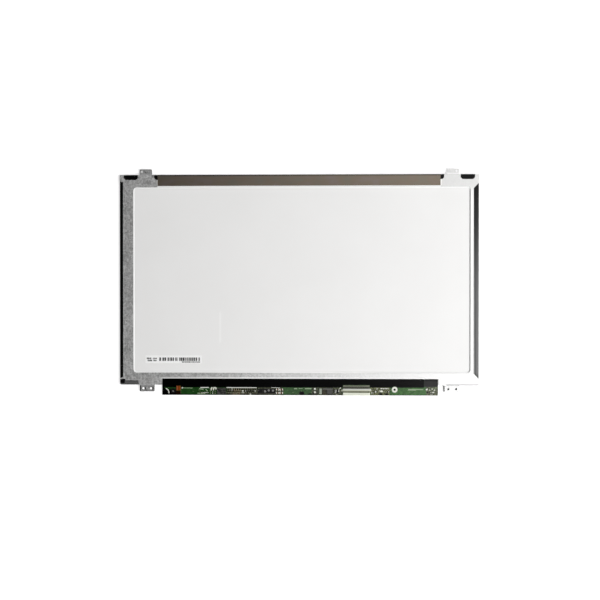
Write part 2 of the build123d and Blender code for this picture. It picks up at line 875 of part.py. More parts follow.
# Round coil at the left end: a drum core with its winding between two flanges
with BuildPart() as boost_inductor:
    level = board_back
    for radius, height in (
        (coil_radius, coil_flange),
        (coil_core_radius, coil_winding),
        (coil_radius, coil_flange),
    ):
        with BuildSketch(Plane.XY.offset(level)):
            with Locations(*bank("coil", 0, 1, middle_row)):
                Circle(radius)
        extrude(amount=height)
        level += height
write(boost_inductor, "boost_inductor")

# Moulded blocks
moulded_parts("tantalum_capacitor", bank("tantalum", 0, 1, tantalum_up),
              tantalum_length, tantalum_width, tantalum_height)
moulded_parts("output_capacitor", bank("tantalum", 0, 1, lower_row),
              tantalum_length, output_width, output_height)
moulded_parts("power_inductor", bank("inductor", 0, 1, middle_row),
              inductor_length, inductor_width, inductor_height)
moulded_parts("signal_diodes", bank("side_bank", diode_pitch, diode_count, diode_up),
              diode_length, diode_width, diode_height)

# Chips
flat_chip("timing_controller_chip", bank("timing", 0, 1, middle_row)[0],
          timing_length, timing_width, timing_height)
flat_chip("led_driver_chip", bank("led_driver", 0, 1, middle_row)[0],
          led_driver_length, led_driver_width, led_driver_height)
leaded_chip("level_shifter_chip", bank("level", 0, 1, middle_row)[0], level_length, level_width, level_height,
            level_lead_count, level_lead_pitch, level_lead_width)
leaded_chip("flash_memory_chip", bank("flash", 0, 1, middle_row)[0], flash_length, flash_width, flash_height,
            flash_lead_count, flash_lead_pitch, flash_lead_width)

# Small capped components, in banks
capped_parts("board_fuse", bank("fuse", 0, 1, middle_row, turn=90), fuse_length, fuse_width, fuse_height)
capped_parts(
    "filter_capacitors",
    bank("filter", filter_pitch, filter_count, upper_row)
    + bank("filter", filter_pitch, filter_count, lower_row),
    filter_length, filter_width, filter_height,
)
capped_parts(
    "ceramic_capacitors",
    bank("capacitors", bank_pitch, capacitor_count, upper_row, turn=90)
    + bank("dense", dense_pitch, dense_count, upper_row, turn=90)
    + bank("dense", dense_pitch, dense_count, lower_row)
    + bank("flash_side", 0, 1, lower_row, turn=90)
    + bank("connector_side", 0, 1, upper_row, turn=90)
    + bank("side_bank", bank_pitch, side_bank_count, upper_row, turn=90)
    + bank("end_bank", bank_pitch, end_bank_count, middle_row, turn=90),
    small_length, small_width, capacitor_height,
)
capped_parts(
    "chip_resistors",
    bank("resistors", bank_pitch, resistor_count, lower_row)
    + bank("capacitors", bank_pitch, capacitor_count, lower_row, turn=90)
    + bank("flash_side", 0, 1, upper_row, turn=90)
    + bank("connector_side", 0, 1, lower_row, turn=90)
    + bank("end_bank", bank_pitch, end_bank_count, diode_up),
    small_length, small_width, resistor_height,
)
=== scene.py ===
import json
import math
import random

import bmesh
import bpy
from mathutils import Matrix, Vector


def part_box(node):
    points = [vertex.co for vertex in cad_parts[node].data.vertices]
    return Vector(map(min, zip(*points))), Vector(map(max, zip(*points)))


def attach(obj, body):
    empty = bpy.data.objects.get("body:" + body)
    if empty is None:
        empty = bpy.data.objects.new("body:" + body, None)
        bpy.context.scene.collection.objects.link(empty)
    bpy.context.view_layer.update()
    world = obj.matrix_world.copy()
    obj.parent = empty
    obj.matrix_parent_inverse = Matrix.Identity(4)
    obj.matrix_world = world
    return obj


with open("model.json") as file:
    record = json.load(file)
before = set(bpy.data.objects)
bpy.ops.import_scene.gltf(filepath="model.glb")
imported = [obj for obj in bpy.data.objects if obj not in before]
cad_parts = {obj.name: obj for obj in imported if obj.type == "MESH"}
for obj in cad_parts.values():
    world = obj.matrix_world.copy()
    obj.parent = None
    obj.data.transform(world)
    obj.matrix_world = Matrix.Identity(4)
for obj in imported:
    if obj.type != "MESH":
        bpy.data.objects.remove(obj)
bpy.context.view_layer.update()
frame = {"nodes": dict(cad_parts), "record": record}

# The panel lies on its display face with its back up: X runs across it, Y up it, Z towards the camera.
# Sizes are in metres, written as millimetres times MM.
MM = 0.001
INK = 0.01 * MM
random.seed(156)

# Camera: the photograph looks down on the back, a little from the right
LENS = 85.0
LOOK_AT = Vector((1.44 * MM, -17.8 * MM, 3.05 * MM))
CAMERA_DISTANCE = 1.416
CAMERA_TURN = math.radians(2.2)
CAMERA_TIP = math.radians(-0.58)

# Studio: a wide soft box overhead, a brighter one over the right side, a low lamp at the right, and fills
# Each soft box: left, right, bottom and top edge, height, and glow
WIDE_BOX = (-0.156, 1.5, -1.2, 1.0, 1.75, 1.34)
KEY_BOX = (0.241, 1.5, -1.2, 0.061, 1.70, 2.59)
SIDE_PLACE, SIDE_SIZE, SIDE_POWER = (1.15, -0.1, 0.55), (0.5, 0.9), 9.6
FILL_REACH, FILL_HEIGHT, FILL_SIZE, FILL_POWER = 1.3, 0.75, (1.4, 0.5), 2.6
SKY_LIGHT = 0.075
FLOOR_HALF = 3.0
FLOOR_DROP = 0.05 * MM
FLOOR_COLOUR, FLOOR_SHADE = 0.93, 0.02
FLOOR_LIFT, FLOOR_NEAR, FLOOR_FAR = 0.45, 0.5, 1.5
WALL_HEIGHT = 1.6
WHITE = (1.0, 1.0, 1.0, 1.0)

# Painted shadow and painted light on the floor under some of the holes: mount, which of its holes, shift of
# the spot across and up in mm, its radius in mm, and its tone from dark to white
HOLE_EDGE = 0.3 * MM
PAINTED_HOLE_SPOTS = (
    ("board_hole_left", 0, 0.0, 0.0, 2.2, 0.0), ("board_hole_right", 0, 0.0, 0.0, 2.2, 0.0),
    ("screw_ear_bottom_left", -1, 0.0, 0.0, 1.3, 1.0), ("screw_ear_bottom_left", 1, 0.0, 0.0, 1.3, 1.0),
    ("screw_ear_bottom_right", -1, 1.1, -0.5, 0.8, 0.0), ("screw_ear_bottom_right", 1, 1.1, -0.5, 0.8, 0.0),
    ("screw_ear_top_left", -1, 0.0, 0.0, 1.3, 0.5), ("screw_ear_top_left", 1, 0.0, 0.0, 1.3, 0.24),
    ("screw_ear_top_right", -1, 0.0, 0.0, 1.3, 0.62), ("screw_ear_top_right", 1, 0.0, 0.0, 1.3, 0.76),
)

# Window of the steel chassis, and the turned-up rim of the white sheet inside it
WINDOW_LEFT, WINDOW_RIGHT = -166.1 * MM, 171.2 * MM
WINDOW_BOTTOM, WINDOW_TOP = -90.75 * MM, 95.1 * MM
WINDOW_CORNER = 3.5 * MM
RIM_GAP = 0.05 * MM
RIM_WIDTH = 1.3 * MM
RIM_RISE = 0.29 * MM

# Inner edges of the bare lips at the left and the right; the steel has a painted highlight along the left one
LIP_LEFT, LIP_HIGHLIGHT = -176.25 * MM, 1.6 * MM
LIP_INNER = 174.3 * MM

# Faint lighter streak in the white sheet
STREAK_MIDDLE, STREAK_WIDTH = -78.6 * MM, 1.6 * MM
STREAK_BOTTOM, STREAK_TOP = -60.5 * MM, -30.0 * MM

# Painted highlight: a white line along the lower edge of the steel, above the board
EDGE_LINE_LEFT, EDGE_LINE_RIGHT = -138.6 * MM, 140.6 * MM
EDGE_LINE_BOTTOM, EDGE_LINE_TOP = -97.2 * MM, -95.3 * MM

# Screw ears
EAR_BACK = 2.55 * MM
LOWER_EAR_WIDTH = 15.0 * MM

# Lips beside the holes of the lower ears: outer radius and rise in mm, and spread to both sides in degrees
LIP_SIZES = {"screw_ear_bottom_left": (2.4, 0.42, 40), "screw_ear_bottom_right": (2.05, 0.3, 42)}

# Film on the foot beside the lower left ear, and the slit of the film round the board's left hole
FOOT_LEFT, FOOT_RIGHT = -174.6 * MM, -161.2 * MM
FOOT_BOTTOM, FOOT_TOP = -102.5 * MM, -99.2 * MM
SLIT = 0.02 * MM

# Lower edge of the steel at the right end, a faint line of painted shade against the floor
EDGE_SHADE_LEFT, EDGE_SHADE_BOTTOM, EDGE_SHADE_TOP = 147.0 * MM, -103.3 * MM, -101.7 * MM

# Where tones of the steel change: the grain from strong to faint, ears with painted shade to unshaded ones,
# the darker stretch of the lower rail, the right rail's painted highlight, the ears' bends with painted shade
# and highlight, and the dim end of the painted white line
GRAIN_STRONG, GRAIN_FAINT = -90 * MM, 110 * MM
EARS_SHADED, EARS_UNSHADED = -100 * MM, 0.0
RAIL_LEFT, RAIL_RIGHT, RAIL_FADE = -145 * MM, -55 * MM, 15 * MM
LIT_START, LIT_FULL, LIT_END = -10 * MM, 75 * MM, 91 * MM
BEND_DARK, BEND_PALE = -150 * MM, 150 * MM
LINE_DIM, LINE_BRIGHT = -130 * MM, -10 * MM

# Ends of the two short arms at the top, with a painted highlight where they meet the tape
ARM_END, ARM_HIGHLIGHT, ARM_BOTTOM = 141.5 * MM, 1.6 * MM, 96.0 * MM

# Stretches of the board that are crowded with very small parts, darkened between them by painted shade and
# flux stain
CROWDED = ((-72.5 * MM, -16.5 * MM), (13.0 * MM, 43.8 * MM), (71.5 * MM, 91.0 * MM), (127.3 * MM, 139.5 * MM))
TAN_LEFT, TAN_RIGHT = -66.6 * MM, -58.4 * MM

# Surfaces that pieces lie on
board_low, board_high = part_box("control_board")
label_low, label_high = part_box("serial_label")
sheet_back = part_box("reflector_sheet")[1].z
board_face = board_high.z
TAPE_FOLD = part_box("top_edge_tape")[1].y
mounts = {mount["name"]: Vector(mount["pos_m"]) for mount in frame["record"]["mounts"]}


def as_colour(tone):
    """A colour as it is, or a plain number as a grey."""
    return tone if isinstance(tone, tuple) else (tone, tone, tone)


# Each finish by its name; those of the record's material slots have the slot's name
finishes = {}


class Finish:
    """A material in the making: one shader, with short calls for the nodes that drive it."""

    def __init__(self, name, **sockets):
        self.material = bpy.data.materials.new(name)
        self.material.use_nodes = True
        finishes[name] = self.material
        self.tree = self.material.node_tree
        self.shader = self.tree.nodes["Principled BSDF"]
        self.place = self.tree.nodes.new("ShaderNodeTexCoord").outputs["Object"]
        for socket, value in sockets.items():
            self.shader.inputs[socket.replace("_", " ")].default_value = value

    def node(self, kind, links=(), **inputs):
        """Adds a node, with sources linked to its first sockets and plain values on named ones."""
        made = self.tree.nodes.new(kind)
        for socket, source in zip(made.inputs, links):
            self.tree.links.new(source, socket)
        for socket, value in inputs.items():
            made.inputs[socket.replace("_", " ")].default_value = value
        return made

    def noise(self, size, detail=3.0, stretch=None):
        """Soft blotches of about this size, drawn out along an axis where its places are scaled down."""
        place = self.place
        if stretch:
            place = self.node("ShaderNodeMapping", [place], Scale=stretch).outputs[0]
        return self.node("ShaderNodeTexNoise", [place], Scale=1 / size, Detail=detail).outputs[0]

    def cells(self, size):
        """A random grey in each cell of about this size, such as the grains of a zinc coat."""
        made = self.node("ShaderNodeTexVoronoi", [self.place], Scale=1 / size)
        return self.node("ShaderNodeSeparateColor", [made.outputs["Color"]]).outputs[0]

    def dots(self, size):
        """Distance from scattered points about this far apart, in shares of that size."""
        return self.node("ShaderNodeTexVoronoi", [self.place], Scale=1 / size).outputs["Distance"]

    def math(self, operation, first, second):
        """Two sources, or a source and a number, worked into one value."""
        made = self.tree.nodes.new("ShaderNodeMath")
        made.operation = operation
        for socket, value in zip(made.inputs, (first, second)):
            if isinstance(value, (int, float)):
                socket.default_value = value
            else:
                self.tree.links.new(value, socket)
        return made.outputs[0]

    def times(self, first, second):
        """The product of two sources, or of a source and a number."""
        return self.math("MULTIPLY", first, second)

    def spread(self, source, low, high, start=0.25, end=0.75):
        """Maps the source's range onto another, held at its ends."""
        made = self.node("ShaderNodeMapRange", [source], From_Min=start, From_Max=end, To_Min=low,
                         To_Max=high)
        return made.outputs[0]

    def ramp(self, source, *stops):
        """Colours along a source, each stop a place and a colour."""
        made = self.node("ShaderNodeValToRGB", [source])
        keys = made.color_ramp.elements
        while len(keys) < len(stops):
            keys.new(0.5)
        for key, (place, colour) in zip(keys, stops):
            key.position = place
            key.color = (*as_colour(colour), 1.0)
        return made.outputs[0]

    def shades(self, source, dark, light):
        """From a dark to a light colour, over the middle of a source's range."""
        return self.ramp(source, (0.3, dark), (0.7, light))

    def mix(self, factor, first, second):
        """Two colour sources, mixed by a factor."""
        made = self.tree.nodes.new("ShaderNodeMix")
        made.data_type = "RGBA"
        colours = [socket for socket in made.inputs if socket.type == "RGBA"]
        self.tree.links.new(factor, made.inputs[0])
        self.tree.links.new(first, colours[0])
        self.tree.links.new(second, colours[1])
        return [socket for socket in made.outputs if socket.type == "RGBA"][0]

    def over(self, base, colour, *masks):
        """A colour laid over a base, as far as all the masks let it."""
        share = masks[0]
        for mask in masks[1:]:
            share = self.times(share, mask)
        return self.mix(share, base, colour)

    def axis(self, letter):
        """The place along one axis, in metres."""
        return self.node("ShaderNodeSeparateXYZ", [self.place]).outputs[letter]

    def slope(self, letter, low, high, start, end):
        """Maps the place along an axis onto a range, held at its ends."""
        return self.spread(self.axis(letter), low, high, start, end)

    def band(self, letter, start, end, soft=0.12 * MM):
        """One between two places along an axis and zero outside them, with soft edges."""
        rise = self.slope(letter, 0.0, 1.0, start - soft, start + soft)
        fall = self.slope(letter, 1.0, 0.0, end - soft, end + soft)
        return self.times(rise, fall)

    def along(self, letter, *stops):
        """Colours by the place along an axis, each stop a place in metres and a colour."""
        start, end = stops[0][0], stops[-1][0]
        share = self.slope(letter, 0.0, 1.0, start, end)
        return self.ramp(share, *(((place - start) / (end - start), colour) for place, colour in stops))

    def seen(self):
        """One where a camera, glossy or transmission ray looks, and zero for the light on the object."""
        rays = self.node("ShaderNodeLightPath").outputs
        looks = self.math("MAXIMUM", rays["Is Camera Ray"], rays["Is Glossy Ray"])
        return self.math("MAXIMUM", looks, rays["Is Transmission Ray"])

    def drive(self, socket, source):
        """Links a source to a socket of the shader."""
        self.tree.links.new(source, self.shader.inputs[socket])

    def made(self, colour, roughness, relief=None, depth=0.0, strength=1.0):
        """The material, with its colour and roughness driven, and relief of this depth from a source."""
        self.drive("Base Color", colour)
        self.drive("Roughness", roughness)
        if relief:
            bump = self.node("ShaderNodeBump", Strength=strength, Distance=depth)
            self.tree.links.new(relief, bump.inputs["Height"])
            self.drive("Normal", bump.outputs[0])
        return self.material


def mottled(name, dark, light, size, roughness, grain, depth, stretch=(1, 1, 1), **sockets):
    """A finish whose colour and gloss vary in soft blotches, with a fine grain in relief; sizes in mm."""
    finish = Finish(name, **sockets)
    blotches, patches, grains = (finish.noise(part * MM, stretch=stretch)
                                 for part in (size, 4 * grain, grain))
    return finish.made(finish.shades(blotches, dark, light), finish.spread(patches, *roughness), grains,
                       depth * MM)


def galvanised_steel():
    """Zinc-coated sheet: a fine spangle and faint streaks, with a painted white highlight above the board and
    more painted light and shade.
    """
    finish = Finish("galvanised_steel")
    grains = finish.cells(1.3 * MM)
    flecks = finish.noise(1.1 * MM, detail=2)
    streaks = finish.noise(1.6 * MM, detail=2, stretch=(1.0, 0.25, 1.0))
    tone = finish.math("ADD", finish.times(grains, 0.3), finish.times(flecks, 0.3))
    tone = finish.math("ADD", tone, finish.times(streaks, 0.4))
    grain = finish.math("SUBTRACT", tone, 0.5)
    grain = finish.times(grain, finish.slope("X", 0.9, 0.1, GRAIN_STRONG, GRAIN_FAINT))
    tone = finish.math("ADD", grain, 0.5)
    stops = (0.3, 0.5, 0.7)
    zinc, other_tone, ears = (
        finish.ramp(tone, *((stop, (grey, grey, grey - 0.005)) for stop, grey in zip(stops, greys)))
        for greys in ((0.34, 0.53, 0.72), (0.26, 0.43, 0.58), (0.22, 0.37, 0.50)))
    zinc = finish.over(zinc, other_tone, finish.slope("Y", 0.6, 0.0, WINDOW_BOTTOM, WINDOW_BOTTOM + 0.5 * MM),
                       finish.band("X", RAIL_LEFT, RAIL_RIGHT, soft=RAIL_FADE))
    # Painted shade: the ears are darker towards the left
    zinc = finish.over(zinc, ears, finish.slope("Z", 1.0, 0.0, EAR_BACK + 0.02 * MM, EAR_BACK + 0.04 * MM),
                       finish.slope("X", 1.0, 0.0, EARS_SHADED, EARS_UNSHADED))
    # Painted highlight along the right rail
    zinc = finish.over(zinc, finish.shades(flecks, 0.64, 0.68),
                       finish.slope("X", 0.0, 1.0, WINDOW_RIGHT - 0.5 * MM, WINDOW_RIGHT),
                       finish.slope("Y", 0.0, 0.75, LIT_START, LIT_FULL),
                       finish.slope("Y", 1.0, 0.0, LIT_END, WINDOW_TOP))
    # Painted highlight on the steel along the left lip
    bright = finish.shades(tone, (0.56, 0.56, 0.555), (0.82, 0.82, 0.815))
    zinc = finish.over(zinc, bright, finish.slope("X", 0.6, 0.0, LIP_LEFT, LIP_LEFT + LIP_HIGHLIGHT))
    # Painted shade: a faint dark line along the lower edge at the right end
    zinc = finish.over(zinc, finish.shades(flecks, 0.29, 0.34), finish.band("Y", EDGE_SHADE_BOTTOM, EDGE_SHADE_TOP),
                       finish.slope("X", 0.0, 1.0, EDGE_SHADE_LEFT - MM, EDGE_SHADE_LEFT + MM))
    # Painted shade on the steel's edge over the foot
    zinc = finish.over(zinc, finish.shades(flecks, 0.19, 0.24),
                       finish.band("Y", FOOT_TOP, FOOT_TOP + 0.9 * MM),
                       finish.band("X", FOOT_LEFT, FOOT_RIGHT))
    # Painted shade and highlight on the ears' bends, dark at the left and pale at the right
    zinc = finish.over(zinc, finish.along("X", (BEND_DARK, 0.30), (BEND_PALE, 0.96)),
                       finish.band("Z", EAR_BACK + 0.03 * MM, sheet_back + 0.28 * MM, soft=0.01 * MM))
    # Painted highlight at the ends of the two short arms
    across = finish.math("ABSOLUTE", finish.axis("X"), 0.0)
    zinc = finish.over(zinc, finish.shades(flecks, (0.84, 0.83, 0.79), (0.92, 0.91, 0.87)),
                       finish.spread(across, 0.7, 0.0, ARM_END, ARM_END + ARM_HIGHLIGHT),
                       finish.slope("Y", 0.0, 1.0, ARM_BOTTOM, ARM_BOTTOM + MM))
    # Painted highlight: the white line along the lower edge, dim towards its left end
    white = finish.shades(flecks, (0.9, 0.9, 0.89), (0.97, 0.97, 0.96))
    dim = finish.shades(flecks, (0.60, 0.60, 0.59), (0.76, 0.76, 0.75))
    white = finish.over(dim, white, finish.slope("X", 0.0, 1.0, LINE_DIM, LINE_BRIGHT))
    edge = finish.times(finish.band("Y", EDGE_LINE_BOTTOM, EDGE_LINE_TOP),
                        finish.band("X", EDGE_LINE_LEFT, EDGE_LINE_RIGHT))
    finish.drive("Metallic", finish.spread(edge, 1.0, 0.0, 0.0, 1.0))
    return finish.made(finish.over(zinc, white, edge), finish.spread(tone, 0.31, 0.48, 0.3, 0.7), grain,
                       0.03 * MM, 0.5)


def white_film():
    """Satin white sheet that lies almost flat, with faint clouds, slow waves and a faint lighter streak."""
    finish = Finish("white_film", Specular_IOR_Level=0.3)
    clouds = finish.noise(55 * MM, detail=2)
    film = finish.shades(clouds, (0.868, 0.864, 0.855), (0.884, 0.880, 0.872))
    pale = finish.shades(clouds, (0.925, 0.921, 0.913), (0.940, 0.936, 0.928))
    pale_streak = finish.times(finish.band("Y", STREAK_BOTTOM, STREAK_TOP, soft=1.5 * MM),
                          finish.band("X", STREAK_MIDDLE - STREAK_WIDTH / 2, STREAK_MIDDLE + STREAK_WIDTH / 2,
                                      soft=0.6 * MM))
    return finish.made(finish.mix(pale_streak, film, pale), finish.spread(finish.noise(4 * MM), 0.5, 0.6),
                       finish.noise(70 * MM, detail=1), 0.3 * MM, 0.4)


def sheet_rim_finish():
    """Cut edge of the white sheet, with a grey line of shade where it turns from the light at the right."""
    finish = Finish("sheet_edge", Specular_IOR_Level=0.6)
    grain = finish.noise(2 * MM)
    # Whiter than the sheet, as a painted highlight along the rim; the grey is painted shade
    white = finish.shades(grain, (0.95, 0.95, 0.945), (0.97, 0.97, 0.965))
    grey = finish.shades(grain, 0.15, 0.20)
    right = finish.slope("X", 0.0, 1.0, WINDOW_RIGHT - 1.1 * MM, WINDOW_RIGHT - 0.8 * MM)
    lower = finish.slope("Y", 0.35, 0.0, WINDOW_BOTTOM + 0.5 * MM, WINDOW_BOTTOM + 0.8 * MM)
    lower = finish.times(lower, finish.slope("X", 0.0, 1.0, 30 * MM, 90 * MM))
    corner = finish.slope("Y", 0.6, 0.0, WINDOW_BOTTOM + 3.0 * MM, WINDOW_BOTTOM + 3.4 * MM)
    corner = finish.times(corner,
                          finish.slope("X", 0.0, 1.0, WINDOW_RIGHT - 3.2 * MM, WINDOW_RIGHT - 2.6 * MM))
    shade = finish.math("MAXIMUM", finish.math("MAXIMUM", right, lower), corner)
    return finish.made(finish.mix(shade, white, grey), finish.spread(grain, 0.3, 0.4))


def satin_tape():
    """Dark metallised tape, finely brushed along its length, with painted shade along its fold."""
    finish = Finish("satin_tape", Metallic=1.0)
    brushed = finish.noise(0.5 * MM, detail=4, stretch=(0.03, 1.0, 1.0))
    clouds = finish.noise(30 * MM, detail=2, stretch=(1.0, 3.0, 1.0))
    tone = finish.math("ADD", finish.times(brushed, 0.4), finish.times(clouds, 0.6))
    film = finish.ramp(tone, (0.3, (0.142, 0.117, 0.092)), (0.5, (0.150, 0.130, 0.106)),
                       (0.7, (0.166, 0.140, 0.118)))
    hues = finish.noise(14 * MM, detail=2, stretch=(1.0, 2.0, 1.0))
    tint = finish.ramp(hues, (0.3, (0.136, 0.131, 0.106)), (0.5, (0.156, 0.124, 0.094)),
                       (0.7, (0.164, 0.134, 0.124)))
    film = finish.mix(finish.spread(hues, 0.5, 0.6), film, tint)
    dark = finish.shades(brushed, (0.055, 0.048, 0.040), (0.075, 0.066, 0.055))
    # Painted shade along the fold
    fold = finish.slope("Y", 0.0, 1.0, TAPE_FOLD - 1.5 * MM, TAPE_FOLD - 0.9 * MM)
    return finish.made(finish.mix(fold, film, dark), finish.spread(brushed, 0.3, 0.4), brushed, 0.01 * MM,
                       0.4)


def cover_film():
    """Black tape, drawn out along its length, greyer towards the right with a painted sheen."""
    finish = Finish("black_tape", Specular_IOR_Level=0.03)
    drawn = finish.noise(0.6 * MM, detail=3, stretch=(0.1, 1.0, 1.0))
    dark = finish.along("X", (board_low.x, 0.0002), (30 * MM, 0.0006), (95 * MM, 0.004),
                        (board_high.x, 0.009))
    light = finish.along("X", (board_low.x, 0.0005), (30 * MM, 0.0012), (95 * MM, 0.007),
                         (board_high.x, 0.014))
    return finish.made(finish.mix(finish.spread(drawn, 0.0, 1.0, 0.35, 0.65), dark, light),
                       finish.spread(drawn, 0.12, 0.2), drawn, 0.003 * MM)


def solder_mask():
    """Green mask over copper: paler traces and pours, darker gaps, and pin-prick vias."""
    finish = Finish("solder_mask", Specular_IOR_Level=0.35)
    lanes = finish.noise(1.3 * MM, detail=1, stretch=(0.25, 1.0, 1.0))
    turns = finish.noise(1.3 * MM, detail=1, stretch=(1.0, 0.35, 1.0))
    copper = finish.math("MAXIMUM", finish.math("PINGPONG", lanes, 0.06),
                         finish.math("PINGPONG", turns, 0.05))
    # The mask grows paler towards the right: painted light, as it falls from the right
    gaps = finish.along("X", (board_low.x, (0.005, 0.026, 0.004)), (-120 * MM, (0.004, 0.027, 0.003)),
                        (-80 * MM, (0.004, 0.030, 0.002)), (10 * MM, (0.008, 0.042, 0.004)),
                        (board_high.x, (0.020, 0.075, 0.012)))
    pours = finish.along("X", (board_low.x, (0.016, 0.060, 0.012)), (-120 * MM, (0.011, 0.062, 0.008)),
                         (-80 * MM, (0.010, 0.066, 0.007)), (10 * MM, (0.020, 0.088, 0.011)),
                         (board_high.x, (0.046, 0.165, 0.029)))
    patches = finish.spread(finish.noise(2.4 * MM, detail=2), 0.2, 1.1, 0.35, 0.65)
    mask = finish.mix(finish.times(finish.spread(copper, 0.0, 1.0, 0.01, 0.04), patches), gaps, pours)
    # Darker along the lower edge: the edge's own darker green, with painted shade
    rim = finish.slope("Y", 0.8, 0.0, board_low.y + 0.5 * MM, board_low.y + 1.2 * MM)
    mask = finish.mix(rim, mask,
                      finish.along("X", (board_low.x, (0.002, 0.012, 0.002)),
                                   (board_high.x, (0.004, 0.030, 0.003))))
    # In the crowded stretches: painted shade and flux stain between the small parts
    blots = finish.spread(finish.noise(1.1 * MM, detail=2), 0.0, 1.0, 0.4, 0.6)
    deep = finish.along("X", (-72 * MM, (0.006, 0.009, 0.003)), (40 * MM, (0.004, 0.010, 0.001)),
                        (80 * MM, (0.040, 0.048, 0.012)), (board_high.x, (0.018, 0.028, 0.010)))
    pale = finish.along("X", (-72 * MM, (0.042, 0.048, 0.020)), (40 * MM, (0.055, 0.070, 0.024)),
                        (80 * MM, (0.175, 0.190, 0.088)), (board_high.x, (0.105, 0.135, 0.065)))
    stained = finish.band("X", *CROWDED[0], soft=0.6 * MM)
    for stretch in CROWDED[1:]:
        stained = finish.math("MAXIMUM", stained, finish.band("X", *stretch, soft=0.6 * MM))
    mask = finish.mix(stained, mask, finish.mix(blots, deep, pale))
    vias = finish.dots(2.6 * MM)
    rings = finish.ramp(vias, (0.0, 0.0), (0.06, 1.0), (0.11, 1.0), (0.13, 0.0))
    plated = finish.ramp(vias, (0.0, (0.22, 0.27, 0.14)), (1.0, (0.22, 0.27, 0.14)))
    return finish.made(finish.mix(rings, mask, plated), finish.spread(finish.noise(2 * MM), 0.10, 0.18),
                       copper, 0.03 * MM, 0.6)


def solder_white(name, tone):
    """Printed or tinned marking, a little uneven."""
    return mottled(name, tuple(0.9 * part for part in tone), tone, 0.8, (0.45, 0.65), 0.2, 0.004)


def see_through(name, tint, roughness, transmission, ior):
    """Clear plate or film with faint ribs."""
    finish = Finish(name, Transmission_Weight=transmission, IOR=ior)
    ribs = finish.noise(0.3 * MM, detail=1, stretch=(0.02, 1.0, 1.0))
    return finish.made(finish.shades(ribs, tuple(0.95 * part for part in tint), tint),
                       finish.spread(ribs, *roughness))


def bare_plastic():
    """Black moulding with a fine grain; the wide lip at the right has a painted grey sheen, most at its foot.
    """
    finish = Finish("black_plastic", Specular_IOR_Level=0.1)
    grain = finish.noise(0.15 * MM, detail=2)
    black = finish.shades(grain, 0.0015, 0.003)
    # Painted sheen on the right lip, by height, with a dimmer band in it
    tones = ((-96, 0.05), (-90, 0.19), (-10, 0.15), (60, 0.036), (95, 0.010))
    grey = finish.along("Y", *((up * MM, tone) for up, tone in tones))
    other_tone = finish.along("Y", *((up * MM, 0.4 * tone) for up, tone in tones))
    grey = finish.mix(finish.band("X", LIP_INNER + 1.7 * MM, LIP_INNER + 2.7 * MM, soft=0.4 * MM), grey, other_tone)
    lip = finish.slope("X", 0.0, 1.0, LIP_INNER - 0.2 * MM, LIP_INNER + 0.2 * MM)
    return finish.made(finish.mix(lip, black, grey), finish.spread(grain, 0.14, 0.22), grain, 0.001 * MM)


def connector_metal():
    """Tinned sheet: bright along the mouth of the connector, duller and streaked above its slots."""
    finish = Finish("tinned_metal", Metallic=1.0)
    streaks = finish.noise(0.8 * MM, detail=3, stretch=(0.08, 1.0, 1.0))
    mouth = board_low.y
    # Bands of the shell up from its mouth: its parts, with their reflections and highlights painted in
    bright, milky = (0.61, 0.63, 0.54), (0.53, 0.54, 0.46)
    olive, cream = (0.17, 0.175, 0.13), (0.43, 0.445, 0.36)
    silver, dull = (0.44, 0.44, 0.43), (0.17, 0.17, 0.15)
    stops = ((0.0, bright), (0.5, bright), (1.1, milky), (1.5, milky), (2.0, bright), (2.5, bright),
             (2.6, olive), (4.6, olive), (4.9, cream), (5.6, cream), (6.0, silver), (6.4, silver),
             (6.7, dull), (7.6, dull))
    light = finish.along("Y", *((mouth + up * MM, tone) for up, tone in stops))
    dark = finish.along("Y", *((mouth + up * MM, tuple(0.78 * part for part in tone)) for up, tone in stops))
    return finish.made(finish.mix(finish.spread(streaks, 0.0, 1.0, 0.35, 0.65), dark, light),
                       finish.spread(streaks, 0.3, 0.42), streaks, 0.004 * MM, 0.5)


def connector_moulding():
    """Beige moulding, with painted shadow behind the shell where the contacts come out."""
    finish = Finish("connector_plastic", Specular_IOR_Level=0.3)
    clouds = finish.spread(finish.noise(1.5 * MM), 0.0, 1.0, 0.35, 0.65)
    # Painted shadow behind the shell
    back = board_low.y + 6.9 * MM
    dark = finish.along("Y", (back - 0.3 * MM, (0.15, 0.16, 0.105)), (back, (0.020, 0.021, 0.012)))
    light = finish.along("Y", (back - 0.3 * MM, (0.20, 0.21, 0.145)), (back, (0.032, 0.034, 0.020)))
    return finish.made(finish.mix(clouds, dark, light), finish.spread(clouds, 0.4, 0.55, 0.0, 1.0))


def ground_ferrite():
    """Grey ferrite with dark edges; the left end of the block is stained and olive."""
    finish = Finish("ferrite", Specular_IOR_Level=0.2)
    low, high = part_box("power_inductor")
    grain = finish.noise(0.7 * MM)
    grey = finish.shades(grain, (0.045, 0.045, 0.042), (0.075, 0.075, 0.070))
    olive = finish.ramp(grain, (0.4, (0.006, 0.006, 0.003)), (0.6, (0.055, 0.052, 0.028)))
    dark = finish.shades(grain, 0.005, (0.014, 0.014, 0.012))
    face = finish.times(finish.band("X", low.x + 4.8 * MM, high.x - 0.6 * MM, soft=0.2 * MM),
                        finish.band("Y", low.y + 0.8 * MM, high.y - 0.8 * MM, soft=0.2 * MM))
    left = finish.slope("X", 1.0, 0.0, low.x + 3.9 * MM, low.x + 4.3 * MM)
    block = finish.mix(left, finish.mix(face, dark, grey), olive)
    other_tone = finish.shades(grain, (0.09, 0.092, 0.082), (0.14, 0.143, 0.13))
    top = finish.band("Y", high.y - 1.4 * MM, high.y - 0.3 * MM, soft=0.15 * MM)
    return finish.made(finish.mix(top, block, other_tone), finish.spread(grain, 0.4, 0.6), finish.noise(0.12 * MM),
                       0.01 * MM)


